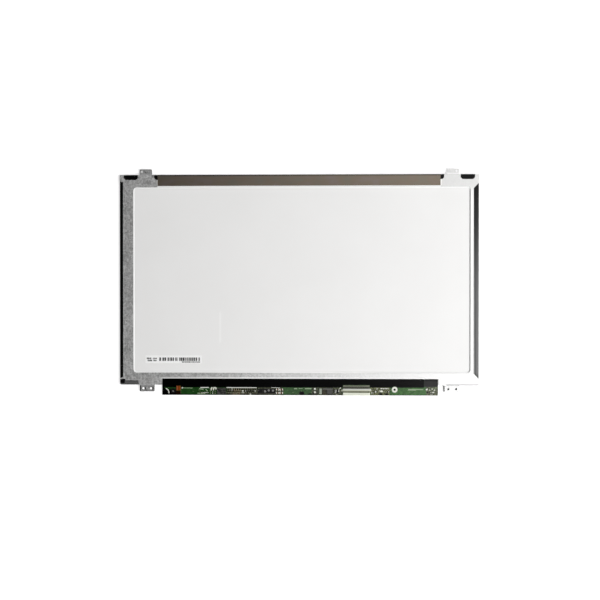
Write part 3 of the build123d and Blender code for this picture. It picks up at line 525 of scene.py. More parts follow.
# One finish for each material slot of the record
mottled("polarizer", (0.010, 0.010, 0.013), (0.014, 0.014, 0.017), 20, (0.28, 0.34), 0.05, 0.001)
see_through("display_glass", (0.75, 0.8, 0.8), (0.02, 0.05), 0.6, 1.5)
mottled("chip_black", 0.005, (0.011, 0.011, 0.0105), 0.6, (0.35, 0.5), 0.12, 0.006, Specular_IOR_Level=0.08)
mottled("amber_film", (0.36, 0.16, 0.03), (0.45, 0.21, 0.04), 4, (0.25, 0.35), 0.3, 0.002,
        stretch=(1, 0.2, 1))
cover_film()
bare_plastic()
see_through("clear_film", (0.85, 0.87, 0.88), (0.2, 0.3), 0.5, 1.55)
mottled("milky_film", 0.8, 0.85, 6, (0.5, 0.6), 0.1, 0.002)
see_through("clear_acrylic", (0.88, 0.9, 0.9), (0.03, 0.08), 0.7, 1.49)
white_film()
mottled("black_film", 0.004, 0.007, 3, (0.32, 0.44), 0.3, 0.006, Specular_IOR_Level=0.25)
mottled("lamp_white", (0.78, 0.76, 0.66), (0.86, 0.84, 0.75), 0.8, (0.4, 0.5), 0.1, 0.002)
galvanised_steel()
satin_tape()
mottled("label_paper", (0.955, 0.953, 0.945), (0.985, 0.985, 0.98), 1.5, (0.55, 0.7), 0.1, 0.004)
solder_mask()
connector_moulding()
connector_metal()
mottled("contact_metal", (0.095, 0.098, 0.075), (0.14, 0.143, 0.115), 0.5, (0.28, 0.4), 0.1, 0.003,
        Metallic=0.9)
ground_ferrite()
mottled("orange_moulding", (0.07, 0.012, 0.002), (0.29, 0.066, 0.009), 1.4, (0.3, 0.42), 0.15, 0.006,
        Specular_IOR_Level=0.04)
mottled("brown_moulding", (0.005, 0.001, 0.0003), (0.014, 0.003, 0.0006), 0.9, (0.3, 0.42), 0.15, 0.006,
        Specular_IOR_Level=0.01)
mottled("white_ceramic", (0.26, 0.31, 0.24), (0.40, 0.45, 0.36), 0.7, (0.35, 0.5), 0.1, 0.004)
mottled("tan_ceramic", (0.12, 0.088, 0.045), (0.24, 0.185, 0.10), 0.8, (0.35, 0.5), 0.1, 0.004)
mottled("resistor_black", 0.005, (0.012, 0.012, 0.011), 0.4, (0.3, 0.45), 0.1, 0.003, Specular_IOR_Level=0.1)

# Other finishes, for print, solder and small pieces
silkscreen = solder_white("silkscreen", (0.80, 0.81, 0.76))
faded_silkscreen = solder_white("faded_silkscreen", (0.27, 0.37, 0.22))
solder = solder_white("solder", (0.80, 0.81, 0.73))
dull_tin = mottled("dull_tin", (0.09, 0.095, 0.05), (0.25, 0.26, 0.16), 0.7, (0.35, 0.5), 0.2, 0.006,
                   Specular_IOR_Level=0.3)
olive_ceramic = mottled("olive_ceramic", (0.030, 0.031, 0.014), (0.070, 0.070, 0.036), 0.6, (0.3, 0.45), 0.1,
                        0.004, Specular_IOR_Level=0.3)
stained_tin = mottled("stained_tin", (0.030, 0.030, 0.018), (0.12, 0.115, 0.075), 0.6, (0.35, 0.5), 0.2,
                      0.006, Specular_IOR_Level=0.2)
rust_ceramic = mottled("rust_ceramic", (0.07, 0.030, 0.014), (0.15, 0.07, 0.035), 0.6, (0.35, 0.5), 0.1,
                       0.004, Specular_IOR_Level=0.2)
dark_ferrite = mottled("dark_ferrite", 0.002, (0.006, 0.006, 0.005), 0.7, (0.4, 0.6), 0.12, 0.008,
                       Specular_IOR_Level=0.06)
# Dark steel for the lips and the ears' edges: painted shadow
shaded_steel = mottled("shaded_steel", 0.022, (0.040, 0.040, 0.039), 0.8, (0.4, 0.5), 0.2, 0.004, Metallic=1.0)
glinting_chip = mottled("glinting_chip", 0.001, (0.062, 0.064, 0.056), 1.6, (0.3, 0.45), 0.12, 0.006,
                       Specular_IOR_Level=0.1)
sheet_edge = sheet_rim_finish()
print_ink = mottled("print_ink", 0.02, 0.06, 0.7, (0.5, 0.7), 0.1, 0.002)
copper_wire = mottled("copper_wire", (0.10, 0.045, 0.02), (0.17, 0.08, 0.035), 0.5, (0.3, 0.45), 0.1, 0.003,
                      Metallic=0.8)

# Each node gets the finish of its slot
for subpart in frame["record"]["subparts"]:
    mesh = frame["nodes"][subpart["node"]].data
    mesh.materials.clear()
    mesh.materials.append(finishes[subpart["material_slot"]])


def repaint(node, finish, chosen):
    """Gives a second finish to the faces of a node that are chosen by their centre."""
    mesh = frame["nodes"][node].data
    mesh.materials.append(finish)
    index = len(mesh.materials) - 1
    for face in mesh.polygons:
        if chosen(face.center):
            face.material_index = index


def islands(node):
    """Lowest and highest corner of each separate solid in a node."""
    mesh = frame["nodes"][node].data
    owner = {}

    def find(key):
        while owner.setdefault(key, key) != key:
            key = owner[key]
        return key

    keys = [tuple(round(part / (0.001 * MM)) for part in vertex.co) for vertex in mesh.vertices]
    for face in mesh.polygons:
        first = find(keys[face.vertices[0]])
        for corner in face.vertices[1:]:
            owner[find(keys[corner])] = first
    groups = {}
    for key, vertex in zip(keys, mesh.vertices):
        groups.setdefault(find(key), []).append(vertex.co)
    boxes = []
    for places in groups.values():
        low = Vector(min(place[i] for place in places) for i in range(3))
        high = Vector(max(place[i] for place in places) for i in range(3))
        boxes.append((low, high))
    return sorted(boxes, key=lambda box: tuple(box[0]))


# Metal ends on the small parts: the two outer shares of each one's length
END_SHARE = 0.26
CAPPED = ("ceramic_capacitors", "chip_resistors", "filter_capacitors", "board_fuse")
SHADED_AND_STAINED = ("ceramic_capacitors", "chip_resistors")
capped_boxes = {node: islands(node) for node in CAPPED}


def long_axis(low, high):
    """Which axis a small part lies along: 0 for X, 1 for Y."""
    return 0 if high.x - low.x > high.y - low.y else 1


def at_an_end(low, high, place):
    """Whether a place on a small part is in one of its metal ends."""
    along = long_axis(low, high)
    share = (place[along] - low[along]) / (high[along] - low[along])
    return min(share, 1 - share) < END_SHARE


def crowded(x):
    """Whether a place along the board is in one of its crowded stretches."""
    return any(left < x < right for left, right in CROWDED)


def dress_small_parts(node, bodies, ends):
    """Gives each small part of a node a body and metal ends, picked from a few finishes by its place."""
    mesh = frame["nodes"][node].data
    mesh.materials.clear()
    known = {}
    picks = []
    for low, high in capped_boxes[node]:
        middle = (low.x + high.x) / 2
        body, end = random.choice(bodies), random.choice(ends)
        if TAN_LEFT < middle < TAN_RIGHT:
            body, end = finishes["tan_ceramic"], random.choice((finishes["tan_ceramic"], stained_tin))
        # In the crowded stretches, darker bodies and ends: painted shade and stain
        elif node in SHADED_AND_STAINED and crowded(middle):
            body = olive_ceramic if body is finishes["tan_ceramic"] else body
            if random.random() < 0.75:
                end = stained_tin if middle < 0 else dull_tin
        for finish in (body, end):
            if finish not in known:
                known[finish] = len(known)
                mesh.materials.append(finish)
        picks.append((known[body], known[end]))
    for face in mesh.polygons:
        for (low, high), (body, end) in zip(capped_boxes[node], picks):
            if all(low[i] - INK <= face.center[i] <= high[i] + INK for i in range(3)):
                face.material_index = end if at_an_end(low, high, face.center) else body


ceramics = [finishes["tan_ceramic"], olive_ceramic, olive_ceramic, finishes["resistor_black"]]
dress_small_parts("ceramic_capacitors", ceramics, [dull_tin, dull_tin, solder])
dress_small_parts("chip_resistors", [finishes["resistor_black"]], [dull_tin, solder])
dress_small_parts("filter_capacitors", [rust_ceramic], [solder])
dress_small_parts("board_fuse", [finishes["white_ceramic"]], [finishes["white_ceramic"]])

# Leads of the chips, and the flat terminals of the moulded parts
for node, metal in (("level_shifter_chip", stained_tin), ("flash_memory_chip", dull_tin)):
    top = [v.co for v in frame["nodes"][node].data.vertices if v.co.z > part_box(node)[1].z - INK]
    room = 0.2 * MM
    sides = (min(place.y for place in top) - room, max(place.y for place in top) + room)
    repaint(node, metal, lambda place, sides=sides: not sides[0] < place.y < sides[1])
for node, metal in (("tantalum_capacitor", rust_ceramic), ("output_capacitor", rust_ceramic),
                    ("power_inductor", dull_tin), ("signal_diodes", dull_tin)):
    for low, high in islands(node):
        ends = (low.x + 0.16 * MM, high.x - 0.16 * MM)
        repaint(node, metal,
                lambda place, ends=ends, low=low, high=high:
                low.x <= place.x <= high.x and not ends[0] < place.x < ends[1])

# Black core of the coil, and painted grey glints on the body of the timing controller
repaint("boost_inductor", dark_ferrite, lambda place: True)
repaint("timing_controller_chip", glinting_chip, lambda place: True)

# Plated walls of the board's two holes
for mount in frame["record"]["mounts"]:
    if mount["kind"] == "bore":
        centre, radius = mounts[mount["name"]], mount["dims"]["r_mm"] * MM
        repaint("control_board", finishes["tinned_metal"],
                lambda place, centre=centre, radius=radius:
                math.hypot(place.x - centre.x, place.y - centre.y) < radius + INK)


class Shape:
    """A mesh in the making, gathered from closed solids."""

    def __init__(self):
        self.places = []
        self.faces = []

    def loops(self, loops, closed=False):
        """A closed solid through loops of points: capped at both ends, or joined round if closed."""
        start, count = len(self.places), len(loops[0])
        for loop in loops:
            self.places.extend(loop)
        for k in range(len(loops) if closed else len(loops) - 1):
            low = start + k * count
            high = start + (k + 1) % len(loops) * count
            for i in range(count):
                j = (i + 1) % count
                self.faces.append((low + i, low + j, high + j, high + i))
        if not closed:
            self.faces.append(tuple(start + i for i in reversed(range(count))))
            self.faces.append(tuple(start + (len(loops) - 1) * count + i for i in range(count)))

    def block(self, x, y, length, width, low, height, bevel=0.0, turn=0.0):
        """A block with its top edges bevelled, turned about its middle."""
        cos, sin = math.cos(turn), math.sin(turn)

        def ring(inset, z):
            corners = []
            for sx, sy in ((-1, -1), (1, -1), (1, 1), (-1, 1)):
                dx = sx * (length / 2 - inset)
                dy = sy * (width / 2 - inset)
                corners.append((x + dx * cos - dy * sin, y + dx * sin + dy * cos, z))
            return corners

        rings = [ring(0, low), ring(0, low + height - bevel)]
        if bevel:
            rings.append(ring(bevel, low + height))
        self.loops(rings)

    def dome(self, x, y, radius, low, height, steps=20):
        """A low rounded drop."""
        loops = []
        for k in range(6):
            lift = math.radians(k * 16)
            loops.append([(x + radius * math.cos(lift) * math.cos(turn),
                           y + radius * math.cos(lift) * math.sin(turn), low + height * math.sin(lift))
                          for turn in (2 * math.pi * i / steps for i in range(steps))])
        self.loops(loops)

    def ring(self, x, y, inner, outer, low, height, start=0.0, end=360.0):
        """A flat ring with rounded edges, or an arc of one."""
        whole = end - start >= 360
        steps = 40
        middle, half = (inner + outer) / 2, (outer - inner) / 2
        section = [(math.cos(math.radians(k * 30)), math.sin(math.radians(k * 30))) for k in range(7)]
        loops = []
        for i in range(steps if whole else steps + 1):
            turn = math.radians(start + (end - start) * i / steps)
            loops.append([(x + (middle - half * c) * math.cos(turn), y + (middle - half * c) * math.sin(turn),
                           low + height * s) for c, s in section])
        self.loops(loops, closed=whole)

    def piece(self, name, slot, finish, smooth=False):
        """The finished mesh, riding on the panel."""
        mesh = bpy.data.meshes.new(name)
        mesh.from_pydata(self.places, [], self.faces)
        mesh.validate()
        shell = bmesh.new()
        shell.from_mesh(mesh)
        bmesh.ops.recalc_face_normals(shell, faces=shell.faces)
        shell.to_mesh(mesh)
        shell.free()
        mesh.materials.append(finish)
        for face in mesh.polygons:
            face.use_smooth = smooth
        made = bpy.data.objects.new(name, mesh)
        bpy.context.scene.collection.objects.link(made)
        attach(made, "root")


def rounded_loop(left, right, bottom, top, corner, height, steps=8):
    """Points round a rectangle with round corners, at one height."""
    points = []
    for x, y, first in ((right - corner, top - corner, 0), (left + corner, top - corner, 90),
                        (left + corner, bottom + corner, 180), (right - corner, bottom + corner, 270)):
        for i in range(steps + 1):
            turn = math.radians(first + 90 * i / steps)
            points.append((x + corner * math.cos(turn), y + corner * math.sin(turn), height))
    return points


def sheet_rim():
    """The edge of the white sheet turns up against the steel all round the window."""
    rim = Shape()
    section = [(0.0, 0.0), (0.0, 0.9), (0.12, 1.0), (0.35, 0.82), (0.65, 0.42), (0.9, 0.12), (1.0, 0.0)]
    loops = []
    for share, rise in section:
        inset = RIM_GAP + share * RIM_WIDTH
        loops.append(rounded_loop(WINDOW_LEFT + inset, WINDOW_RIGHT - inset, WINDOW_BOTTOM + inset,
                                  WINDOW_TOP - inset, WINDOW_CORNER - inset, sheet_back + rise * RIM_RISE))
    rim.loops(loops, closed=True)
    rim.piece("sheet_rim", "white_film", sheet_edge, smooth=True)


def label_print():
    """Plain bars and dashes on the label, with nothing to read."""
    ink = Shape()
    face = label_high.z
    bars_left, bars_right = label_low.x + 14.0 * MM, label_high.x - 2.0 * MM
    bars_middle, bars_height = label_high.y - 3.8 * MM, 3.5 * MM
    x = bars_left
    while x < bars_right:
        width = min(random.choice((0.5, 0.9, 1.4, 1.8)) * MM, bars_right - x)
        ink.block(x + width / 2, bars_middle, width, bars_height, face, INK)
        x += width
        if x < bars_right:
            x += random.choice((0.3, 0.4, 0.5, 1.3)) * MM
    for left, right, row in ((1.4, 5.4, 3.0), (2.2, 6.4, 5.1), (7.6, 11.2, 3.0), (8.2, 11.2, 5.1)):
        x = label_low.x + left * MM
        while x < label_low.x + right * MM:
            width = random.choice((0.6, 0.9, 1.1)) * MM
            ink.block(x + width / 2, label_high.y - row * MM, width, random.choice((1.2, 1.6)) * MM, face,
                      INK)
            x += width + 0.2 * MM
    x = label_high.x - 20.0 * MM
    while x < bars_right:
        width = random.choice((0.5, 0.8, 1.1)) * MM
        ink.block(x + width / 2, label_low.y + 1.2 * MM, width, 1.2 * MM, face, INK)
        x += width + 0.3 * MM
    ink.piece("label_print", "black_film", print_ink)


def board_marks():
    """White printed dashes on the board, bright under the tape's edge and faded at the right."""
    # Each dash: middle across the panel, height above the board's edge, length, width, turn in degrees
    bright = ((-94.5, 7.5, 8.5, 0.9, 0), (-57.3, 7.5, 30.2, 0.7, 0), (85.8, 6.8, 8.0, 0.9, 0),
              (-116.8, 7.2, 1.6, 1.0, 30), (-58.5, 0.7, 24.0, 0.25, 0), (-23.0, 7.6, 9.0, 0.3, 0))
    faded = ((117.0, 6.0, 15.0, 0.9, 0), (113.0, 5.3, 8.0, 0.5, 0), (9.5, 6.6, 6.5, 1.0, 0),
             (-3.0, 6.6, 3.2, 1.0, 0), (2.0, 6.7, 4.0, 0.5, 0), (-111.5, 7.0, 10.0, 0.5, 0),
             (-97.8, 6.0, 4.4, 0.9, -6), (-92.6, 5.0, 2.2, 0.9, -40), (-91.6, 4.3, 1.2, 0.6, -60),
             *((-101.0 + 1.6 * i, 1.6, 1.0, 1.6, 0) for i in range(5)))
    for name, finish, dashes in (("board_marks", silkscreen, bright),
                                 ("board_marks_faded", faded_silkscreen, faded)):
        marks = Shape()
        for x, up, length, width, turn in dashes:
            marks.block(x * MM, board_low.y + up * MM, length * MM, width * MM, board_face, INK,
                        turn=math.radians(turn))
        marks.piece(name, "solder_mask", finish)


def solder_pads():
    """Bare tinned pads on the board, each with a rounded skin of solder."""
    pads = Shape()
    skin = 0.06 * MM
    # Each pad: middle across the panel, height above the board's edge, length, width, turn in degrees
    flat = [(-87.6, 6.3, 1.3, 3.4, -20), (-85.4, 6.4, 1.3, 3.4, -20), (-83.4, 6.9, 1.6, 2.6, 10),
            (73.8, 2.6, 1.8, 1.4, 0), (78.6, 6.4, 1.2, 1.6, 0), (82.4, 4.3, 3.6, 1.8, 0),
            (41.2, 6.8, 2.6, 0.8, 40), (40.0, 4.4, 1.0, 2.2, 0), (-20.2, 5.6, 1.0, 2.6, 0),
            (127.8, 6.0, 1.6, 1.4, 0)]
    flat += [(128.5 + 2.4 * i, 6.5 - i % 2, 1.0, 0.9, 0) for i in range(4)]
    for x, up, length, width, turn in flat:
        pads.block(x * MM, board_low.y + up * MM, length * MM, width * MM, board_face, skin, skin / 2,
                   math.radians(turn))
    for x, up, radius in ((16.3, 6.4, 1.0), (16.3, 3.1, 0.95), (71.9, 5.6, 0.8)):
        pads.dome(x * MM, board_low.y + up * MM, radius * MM, board_face, 0.25 * MM)
    pads.piece("solder_pads", "tinned_metal", solder, smooth=True)


def plated_rings():
    """Plated ring round the right hole, and the arc of a wider one at the left end of the board."""
    rings = Shape()
    left, right = mounts["board_hole_left"], mounts["board_hole_right"]
    skin = 0.06 * MM
    rings.ring(right.x, right.y, 1.05 * MM, 2.9 * MM, board_face, skin)
    rings.ring(left.x - 2.2 * MM, left.y - 0.8 * MM, 4.4 * MM, 5.3 * MM, board_face, skin, start=-5, end=68)
    rings.piece("plated_rings", "tinned_metal", solder, smooth=True)


def solder_joints():
    """A sloped fillet of solder at both ends of each small part."""
    joints = Shape()
    reach, share = 0.35 * MM, 0.55
    for boxes in capped_boxes.values():
        for low, high in boxes:
            along = long_axis(low, high)
            across = 1 - along
            for edge, way in ((low[along], -1), (high[along], 1)):
                loops = []
                for out, up in ((0.0, share), (0.35, share * 0.45), (1.0, 0.06)):
                    loop = []
                    for side, level in ((low, 0.0), (high, 0.0), (high, up), (low, up)):
                        place = [0.0, 0.0, board_face + level * (high.z - board_face)]
                        place[along] = edge + way * out * reach
                        place[across] = side[across]
                        loop.append(tuple(place))
                    loops.append(loop)
                joints.loops(loops)
    joints.piece("solder_joints", "tinned_metal", dull_tin, smooth=True)


def coil_winding():
    """Turns of enamelled wire between the two flanges of the coil, and a dab of cement on its top."""
    low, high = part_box("boost_inductor")
    middle = (low + high) / 2
    turns = Shape()
    wire, count, radius = 0.11 * MM, 3, 2.13 * MM
    around, section = 36, 8
    for k in range(count):
        level = middle.z + (k - (count - 1) / 2) * 2 * wire
        loops = []
        for i in range(around):
            turn = 2 * math.pi * i / around
            loop = []
            for j in range(section):
                bend = 2 * math.pi * j / section
                reach = radius + wire * math.cos(bend)
                loop.append((middle.x + reach * math.cos(turn), middle.y + reach * math.sin(turn),
                             level + wire * math.sin(bend)))
            loops.append(loop)
        turns.loops(loops, closed=True)
    turns.piece("coil_winding", "contact_metal", copper_wire, smooth=True)
    dab = Shape()
    dab.dome(middle.x - 0.2 * MM, middle.y, 0.8 * MM, high.z, 0.1 * MM)
    dab.piece("coil_cement", "white_ceramic",
              mottled("coil_cement", (0.06, 0.06, 0.055), (0.15, 0.15, 0.14), 0.5, (0.4, 0.55), 0.1, 0.004),
              smooth=True)


def chip_marks():
    """Moulded pin-one dots and ejector rings on the chips."""
    dots = Shape()
    for node in ("timing_controller_chip", "led_driver_chip", "level_shifter_chip", "flash_memory_chip"):
        low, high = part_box(node)
        inset = 0.9 * MM
        dots.dome(low.x + inset, (low.y + high.y) / 2 + 0.8 * MM, 0.3 * MM, high.z, INK)
    low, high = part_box("level_shifter_chip")
    for share, shift in ((0.15, -0.2), (0.45, 0.9), (0.8, 0.7)):
        dots.dome(low.x + share * (high.x - low.x), (low.y + high.y) / 2 + shift * MM, 1.1 * MM, high.z,
                  2 * INK)
    dots.piece("chip_marks", "chip_black",
               mottled("chip_mark", (0.12, 0.12, 0.115), (0.20, 0.20, 0.19), 0.5, (0.4, 0.5), 0.1, 0.002))


def chip_band():
    """A pale printed bar across the memory chip."""
    low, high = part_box("flash_memory_chip")
    bar = Shape()
    bar.block((low.x + high.x) / 2 - 0.3 * MM, (low.y + high.y) / 2, 3.6 * MM, 1.5 * MM, high.z, INK,
              turn=math.radians(78))
    bar.piece("chip_band", "chip_black",
              mottled("chip_print", (0.21, 0.22, 0.19), (0.33, 0.34, 0.30), 0.6, (0.4, 0.5), 0.1, 0.002))


def polarity_band():
    """A paler printed band across one end of the orange capacitor."""
    low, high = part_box("tantalum_capacitor")
    band = Shape()
    band.block(low.x + 1.0 * MM, (low.y + high.y) / 2, 0.8 * MM, high.y - low.y - 0.4 * MM, high.z, INK)
    band.piece("polarity_band", "orange_moulding",
               mottled("band_print", (0.22, 0.045, 0.008), (0.34, 0.075, 0.012), 0.6, (0.45, 0.55), 0.1,
                       0.002))


def end_patch():
    """Black film over the left end of the board, cut round the hole, and on under the coil as its painted
    shadow.
    """
    patch = Shape()
    hole = mounts["board_hole_left"]
    left, right = board_low.x + 0.2 * MM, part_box("output_capacitor")[0].x - 0.1 * MM
    bottom, top = board_low.y + 0.2 * MM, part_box("board_cover_tape")[0].y
    middle, radius = hole.y + 2.6 * MM, 2.3 * MM
    arc = [math.radians(-90 + 15 * i) for i in range(25)]
    around = [(hole.x + radius * math.cos(turn), hole.y + radius * math.sin(turn)) for turn in reversed(arc)]
    slit = [(hole.x - SLIT, hole.y - radius), (hole.x - SLIT, bottom)]
    # From the hole to the right the film runs on under the coil, a black sheet as the coil's painted shadow
    outline = [(left, bottom), (left, top), (hole.x - radius, top), (hole.x, middle), (right, middle),
               (right, bottom), (hole.x, bottom)] + around[1:-1] + slit
    patch.loops([[(x, y, board_face) for x, y in outline], [(x, y, board_face + INK) for x, y in outline]])
    patch.piece("end_patch", "black_tape", finishes["black_tape"])


def small_fillers():
    """Very small parts in the lanes beside the rows of capacitors, most of them dark."""
    dark, olive, tan, tin = "dark_fillers", "olive_fillers", "tan_fillers", "tin_fillers"
    pale, dull, black = "pale_fillers", "dull_fillers", "black_fillers"
    shades = {black: ("resistor_black", dark_ferrite), dark: ("resistor_black", finishes["resistor_black"]),
              olive: ("tan_ceramic", olive_ceramic), tan: ("tan_ceramic", finishes["tan_ceramic"]),
              tin: ("tinned_metal", stained_tin), dull: ("tinned_metal", dull_tin),
              pale: ("white_ceramic", solder)}
    shapes = {name: Shape() for name in shades}
    deep = [dark] * 5 + [olive] * 4 + [tin] * 2 + [pale]
    mixed = [dark] * 2 + [olive] * 3 + [dull] * 4 + [pale] * 2
    # Each lane: left and right end, height above the board's edge, width, and the kinds to pick from
    lanes = [(-70.5, -66.6, 4.15, 1.1, deep), (-66.4, -58.6, 4.15, 1.1, [tan]),
             (-58.4, -36.5, 4.15, 1.1, deep), (-70.5, -66.6, 0.95, 1.1, deep),
             (-66.4, -58.6, 0.95, 1.3, [tan, tan, tan, dull]), (-58.4, -36.5, 0.95, 1.1, deep),
             (-21.0, -15.5, 4.3, 1.0, mixed), (74.0, 80.4, 3.7, 1.2, mixed), (84.6, 91.5, 3.7, 1.2, mixed),
             (72.0, 76.5, 0.9, 0.9, mixed), (127.5, 138.0, 3.2, 1.2, mixed), (127.5, 138.0, 0.9, 0.9, mixed),
             (14.0, 18.0, 1.2, 1.4, [dark]), (35.6, 43.4, 0.8, 0.8, mixed)]
    for left, right, up, reach, kinds in lanes:
        x = left
        while x < right:
            length = random.choice((0.5, 0.8, 1.2, 1.6))
            width = reach * random.uniform(0.6, 1.0)
            shapes[random.choice(kinds)].block((x + length / 2) * MM, board_low.y + up * MM, length * MM,
                                               width * MM, board_face, random.uniform(0.25, 0.5) * MM,
                                               0.04 * MM)
            x += length + random.choice((0.1, 0.15, 0.3))
    # Larger dark parts, each: middle, height above the board's edge, length, width
    for x, up, length, width in ((3.2, 1.9, 4.6, 3.4), (11.3, 1.2, 3.2, 1.2), (82.4, 1.3, 2.6, 1.6),
                                 (88.4, 1.2, 2.6, 1.6)):
        shapes[black].block(x * MM, board_low.y + up * MM, length * MM, width * MM, board_face, 0.5 * MM,
                            0.08 * MM)
    for name, shape in shapes.items():
        shape.piece(name, *shades[name])


def contact_row_ends():
    """A tinned pad under each contact, and flat tabs that carry the row on to both ends of the connector."""
    tabs = Shape()
    low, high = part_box("connector_housing")
    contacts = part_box("connector_contacts")
    gap = 0.15 * MM
    for left, right in ((low.x, contacts[0].x - gap), (contacts[1].x + gap, high.x)):
        tabs.block((left + right) / 2, (high.y + contacts[1].y) / 2 + gap / 2, right - left,
                   contacts[1].y - high.y - gap, board_face, 0.15 * MM, 0.04 * MM)
    pitch, count = 0.5 * MM, 40
    for i in range(count):
        x = (contacts[0].x + contacts[1].x) / 2 + (i - (count - 1) / 2) * pitch
        tabs.block(x, (high.y + contacts[1].y) / 2 + gap / 2, 0.42 * MM, contacts[1].y - high.y - gap,
                   board_face, INK)
    tabs.piece("contact_row_ends", "tinned_metal", finishes["contact_metal"])


def screw_lips():
    """A raised lip at the right of each hole in the two lower ears, sloped down to the hole."""
    lips = Shape()
    steps = 12
    for mount in frame["record"]["mounts"]:
        if mount["name"] not in LIP_SIZES:
            continue
        top, rise, spread = LIP_SIZES[mount["name"]]
        section = ((1.2, 0.0), (1.22, 0.03), (top - 0.1, rise), (top, rise), (top + 0.02, 0.0))
        x, y = mount["pos_m"][:2]
        half = mount["dims"]["spacing_x_mm"] * MM / 2
        for middle in (x - half, x + half):
            loops = []
            for i in range(steps + 1):
                turn = math.radians(spread) * (2 * i / steps - 1)
                loops.append([(middle + reach * MM * math.cos(turn), y + reach * MM * math.sin(turn),
                               EAR_BACK + up * MM) for reach, up in section])
            lips.loops(loops)
    # Dark steel: painted shadow at the right of each hole
    lips.piece("screw_lips", "galvanised_steel", shaded_steel)


def ear_edges():
    """The left edge of each lower ear is turned up a little, up to the bend where the ear steps down."""
    edges = Shape()
    for ear, start, end in (("screw_ear_bottom_left", 0.05, 1.1), ("screw_ear_bottom_right", -0.25, 0.95)):
        middle = mounts[ear]
        left = middle.x - LOWER_EAR_WIDTH / 2
        # Each place along the edge: distance from the holes, level above the ear, and rise of the edge
        places = ((-2.7, 0.0, 0.3), (2.3, 0.0, 0.3), (3.3, 0.68, 0.08))
        loops = []
        for along, level, rise in places:
            loops.append([(left + across * MM, middle.y + along * MM, EAR_BACK + (level + up * rise) * MM)
                          for across, up in ((start, 0.0), (end, 0.0), (end, 1.0), (end - 0.05, 1.0))])
        edges.loops(loops)
    # Dark steel: painted shadow along the ears' left edges
    edges.piece("ear_edges", "galvanised_steel", shaded_steel)


def foot_film():
    """Grey film on the bare plastic beside the lower left ear."""
    film = Shape()
    film.block((FOOT_LEFT + FOOT_RIGHT) / 2, (FOOT_BOTTOM + FOOT_TOP) / 2, FOOT_RIGHT - FOOT_LEFT,
               FOOT_TOP - FOOT_BOTTOM, sheet_back, 0.1 * MM, 0.03 * MM)
    film.block(FOOT_LEFT - 2.0 * MM, FOOT_BOTTOM + 0.6 * MM, 3.8 * MM, 1.2 * MM, sheet_back, 0.1 * MM,
               0.03 * MM)
    film.piece("foot_film", "black_film",
               mottled("grey_film", (0.083, 0.083, 0.082), (0.105, 0.105, 0.104), 3, (0.3, 0.4), 0.3, 0.004,
                       Specular_IOR_Level=0.2))


sheet_rim()
label_print()
board_marks()
solder_pads()
plated_rings()
solder_joints()
coil_winding()
chip_marks()
chip_band()
polarity_band()
end_patch()
small_fillers()
contact_row_ends()
screw_lips()
ear_edges()
foot_film()


def camera():
    """Camera over the back of the panel, looking almost straight down."""
    data = bpy.data.cameras.new("camera")
    data.lens = LENS
    made = bpy.data.objects.new("camera", data)
    bpy.context.scene.collection.objects.link(made)
    made.rotation_euler = (CAMERA_TIP, CAMERA_TURN, 0.0)
    made.location = LOOK_AT + made.rotation_euler.to_matrix() @ Vector((0, 0, CAMERA_DISTANCE))
    bpy.context.scene.camera = made


def lamp(name, place, target, size, power):
    """A rectangular soft lamp, turned towards a target."""
    data = bpy.data.lights.new(name, "AREA")
    data.shape = "RECTANGLE"
    data.size, data.size_y = size
    data.energy = power
    made = bpy.data.objects.new(name, data)
    made.location = place
    made.rotation_euler = (Vector(target) - Vector(place)).to_track_quat("-Z", "Y").to_euler()
    made.visible_camera = False
    bpy.context.scene.collection.objects.link(made)


def lamps():
    """The soft boxes hang level, so that their left edges draw the sheen across the steel."""
    for name, box in (("wide_softbox", WIDE_BOX), ("key_softbox", KEY_BOX)):
        left, right, bottom, top, height, glow = box
        x, y, width, depth = (left + right) / 2, (bottom + top) / 2, right - left, top - bottom
        lamp(name, (x, y, height), (x, y, 0), (width, depth), glow * math.pi * width * depth)
    lamp("side_lamp", SIDE_PLACE, (0, 0, 0), SIDE_SIZE, SIDE_POWER)
    for name, way in (("upper_fill", 1), ("lower_fill", -1)):
        lamp(name, (0, way * FILL_REACH, FILL_HEIGHT), (0, 0, 0), FILL_SIZE, FILL_POWER)


def stage_piece(name, places, faces, finish):
    """A part of the studio, which isn't part of the panel."""
    mesh = bpy.data.meshes.new(name)
    mesh.from_pydata(places, [], faces)
    mesh.materials.append(finish.material)
    made = bpy.data.objects.new(name, mesh)
    bpy.context.scene.collection.objects.link(made)


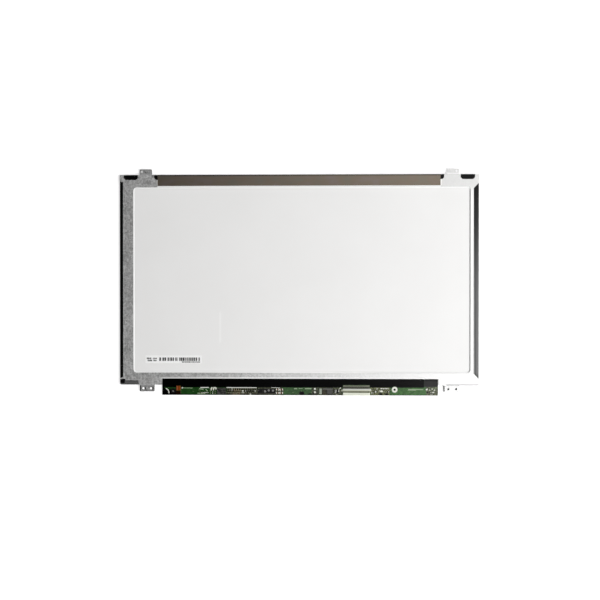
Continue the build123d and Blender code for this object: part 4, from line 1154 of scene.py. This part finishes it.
def floor():
    """White floor with the panel's shadow; under some of the holes painted shadow and light make it dark,
    grey or white.
    """
    half = FLOOR_HALF
    finish = Finish("floor", Roughness=0.9, Specular_IOR_Level=0.0, Emission_Color=WHITE)
    spacing = {mount["name"]: mount["dims"].get("spacing_x_mm", 0.0) * MM
               for mount in frame["record"]["mounts"]}
    under, painted_glow = None, None
    # Each spot: the floor's colour turned dark as painted shadow, and a glow by its tone as painted light
    for hole, side, across, up, radius, tone in PAINTED_HOLE_SPOTS:
        apart = finish.node("ShaderNodeVectorMath", [finish.place])
        apart.operation = "DISTANCE"
        apart.inputs[1].default_value = (mounts[hole].x + side * spacing[hole] / 2 + across * MM,
                                         mounts[hole].y + up * MM, -FLOOR_DROP)
        near = finish.spread(apart.outputs["Value"], 1.0, 0.0, radius * MM, radius * MM + HOLE_EDGE)
        glow = finish.times(near, tone)
        under = finish.math("MAXIMUM", under, near) if under else near
        painted_glow = finish.math("MAXIMUM", painted_glow, glow) if painted_glow else glow
    finish.drive("Base Color", finish.ramp(under, (0.0, FLOOR_COLOUR), (1.0, FLOOR_SHADE)))
    reach = finish.node("ShaderNodeVectorMath", [finish.place])
    reach.operation = "LENGTH"
    lift = finish.spread(reach.outputs["Value"], FLOOR_LIFT, 1.0, FLOOR_NEAR, FLOOR_FAR)
    lift = finish.math("ADD", finish.times(lift, finish.spread(under, 1.0, 0.0, 0.0, 1.0)), painted_glow)
    finish.drive("Emission Strength", finish.times(finish.seen(), lift))
    corners = [(x, y, -FLOOR_DROP) for x, y in ((-half, -half), (half, -half), (half, half), (-half, half))]
    stage_piece("floor", corners, [(0, 1, 2, 3)], finish)


def wall():
    """White wall round the floor, seen from the sides."""
    half, steps = FLOOR_HALF, 48
    finish = Finish("wall", Base_Color=(0.0, 0.0, 0.0, 1.0), Specular_IOR_Level=0.0, Emission_Color=WHITE)
    finish.drive("Emission Strength", finish.seen())
    places = []
    for height in (-FLOOR_DROP, WALL_HEIGHT):
        for i in range(steps):
            turn = 2 * math.pi * i / steps
            places.append((half * math.cos(turn), half * math.sin(turn), height))
    faces = [(i, (i + 1) % steps, steps + (i + 1) % steps, steps + i) for i in range(steps)]
    stage_piece("wall", places, faces, finish)


def sky():
    """Plain dim light from all round."""
    world = bpy.data.worlds.new("studio")
    world.use_nodes = True
    bpy.context.scene.world = world
    back = world.node_tree.nodes["Background"]
    back.inputs["Color"].default_value = WHITE
    back.inputs["Strength"].default_value = SKY_LIGHT


camera()
lamps()
floor()
wall()
sky()
bpy.context.scene.view_settings.view_transform = "Standard"
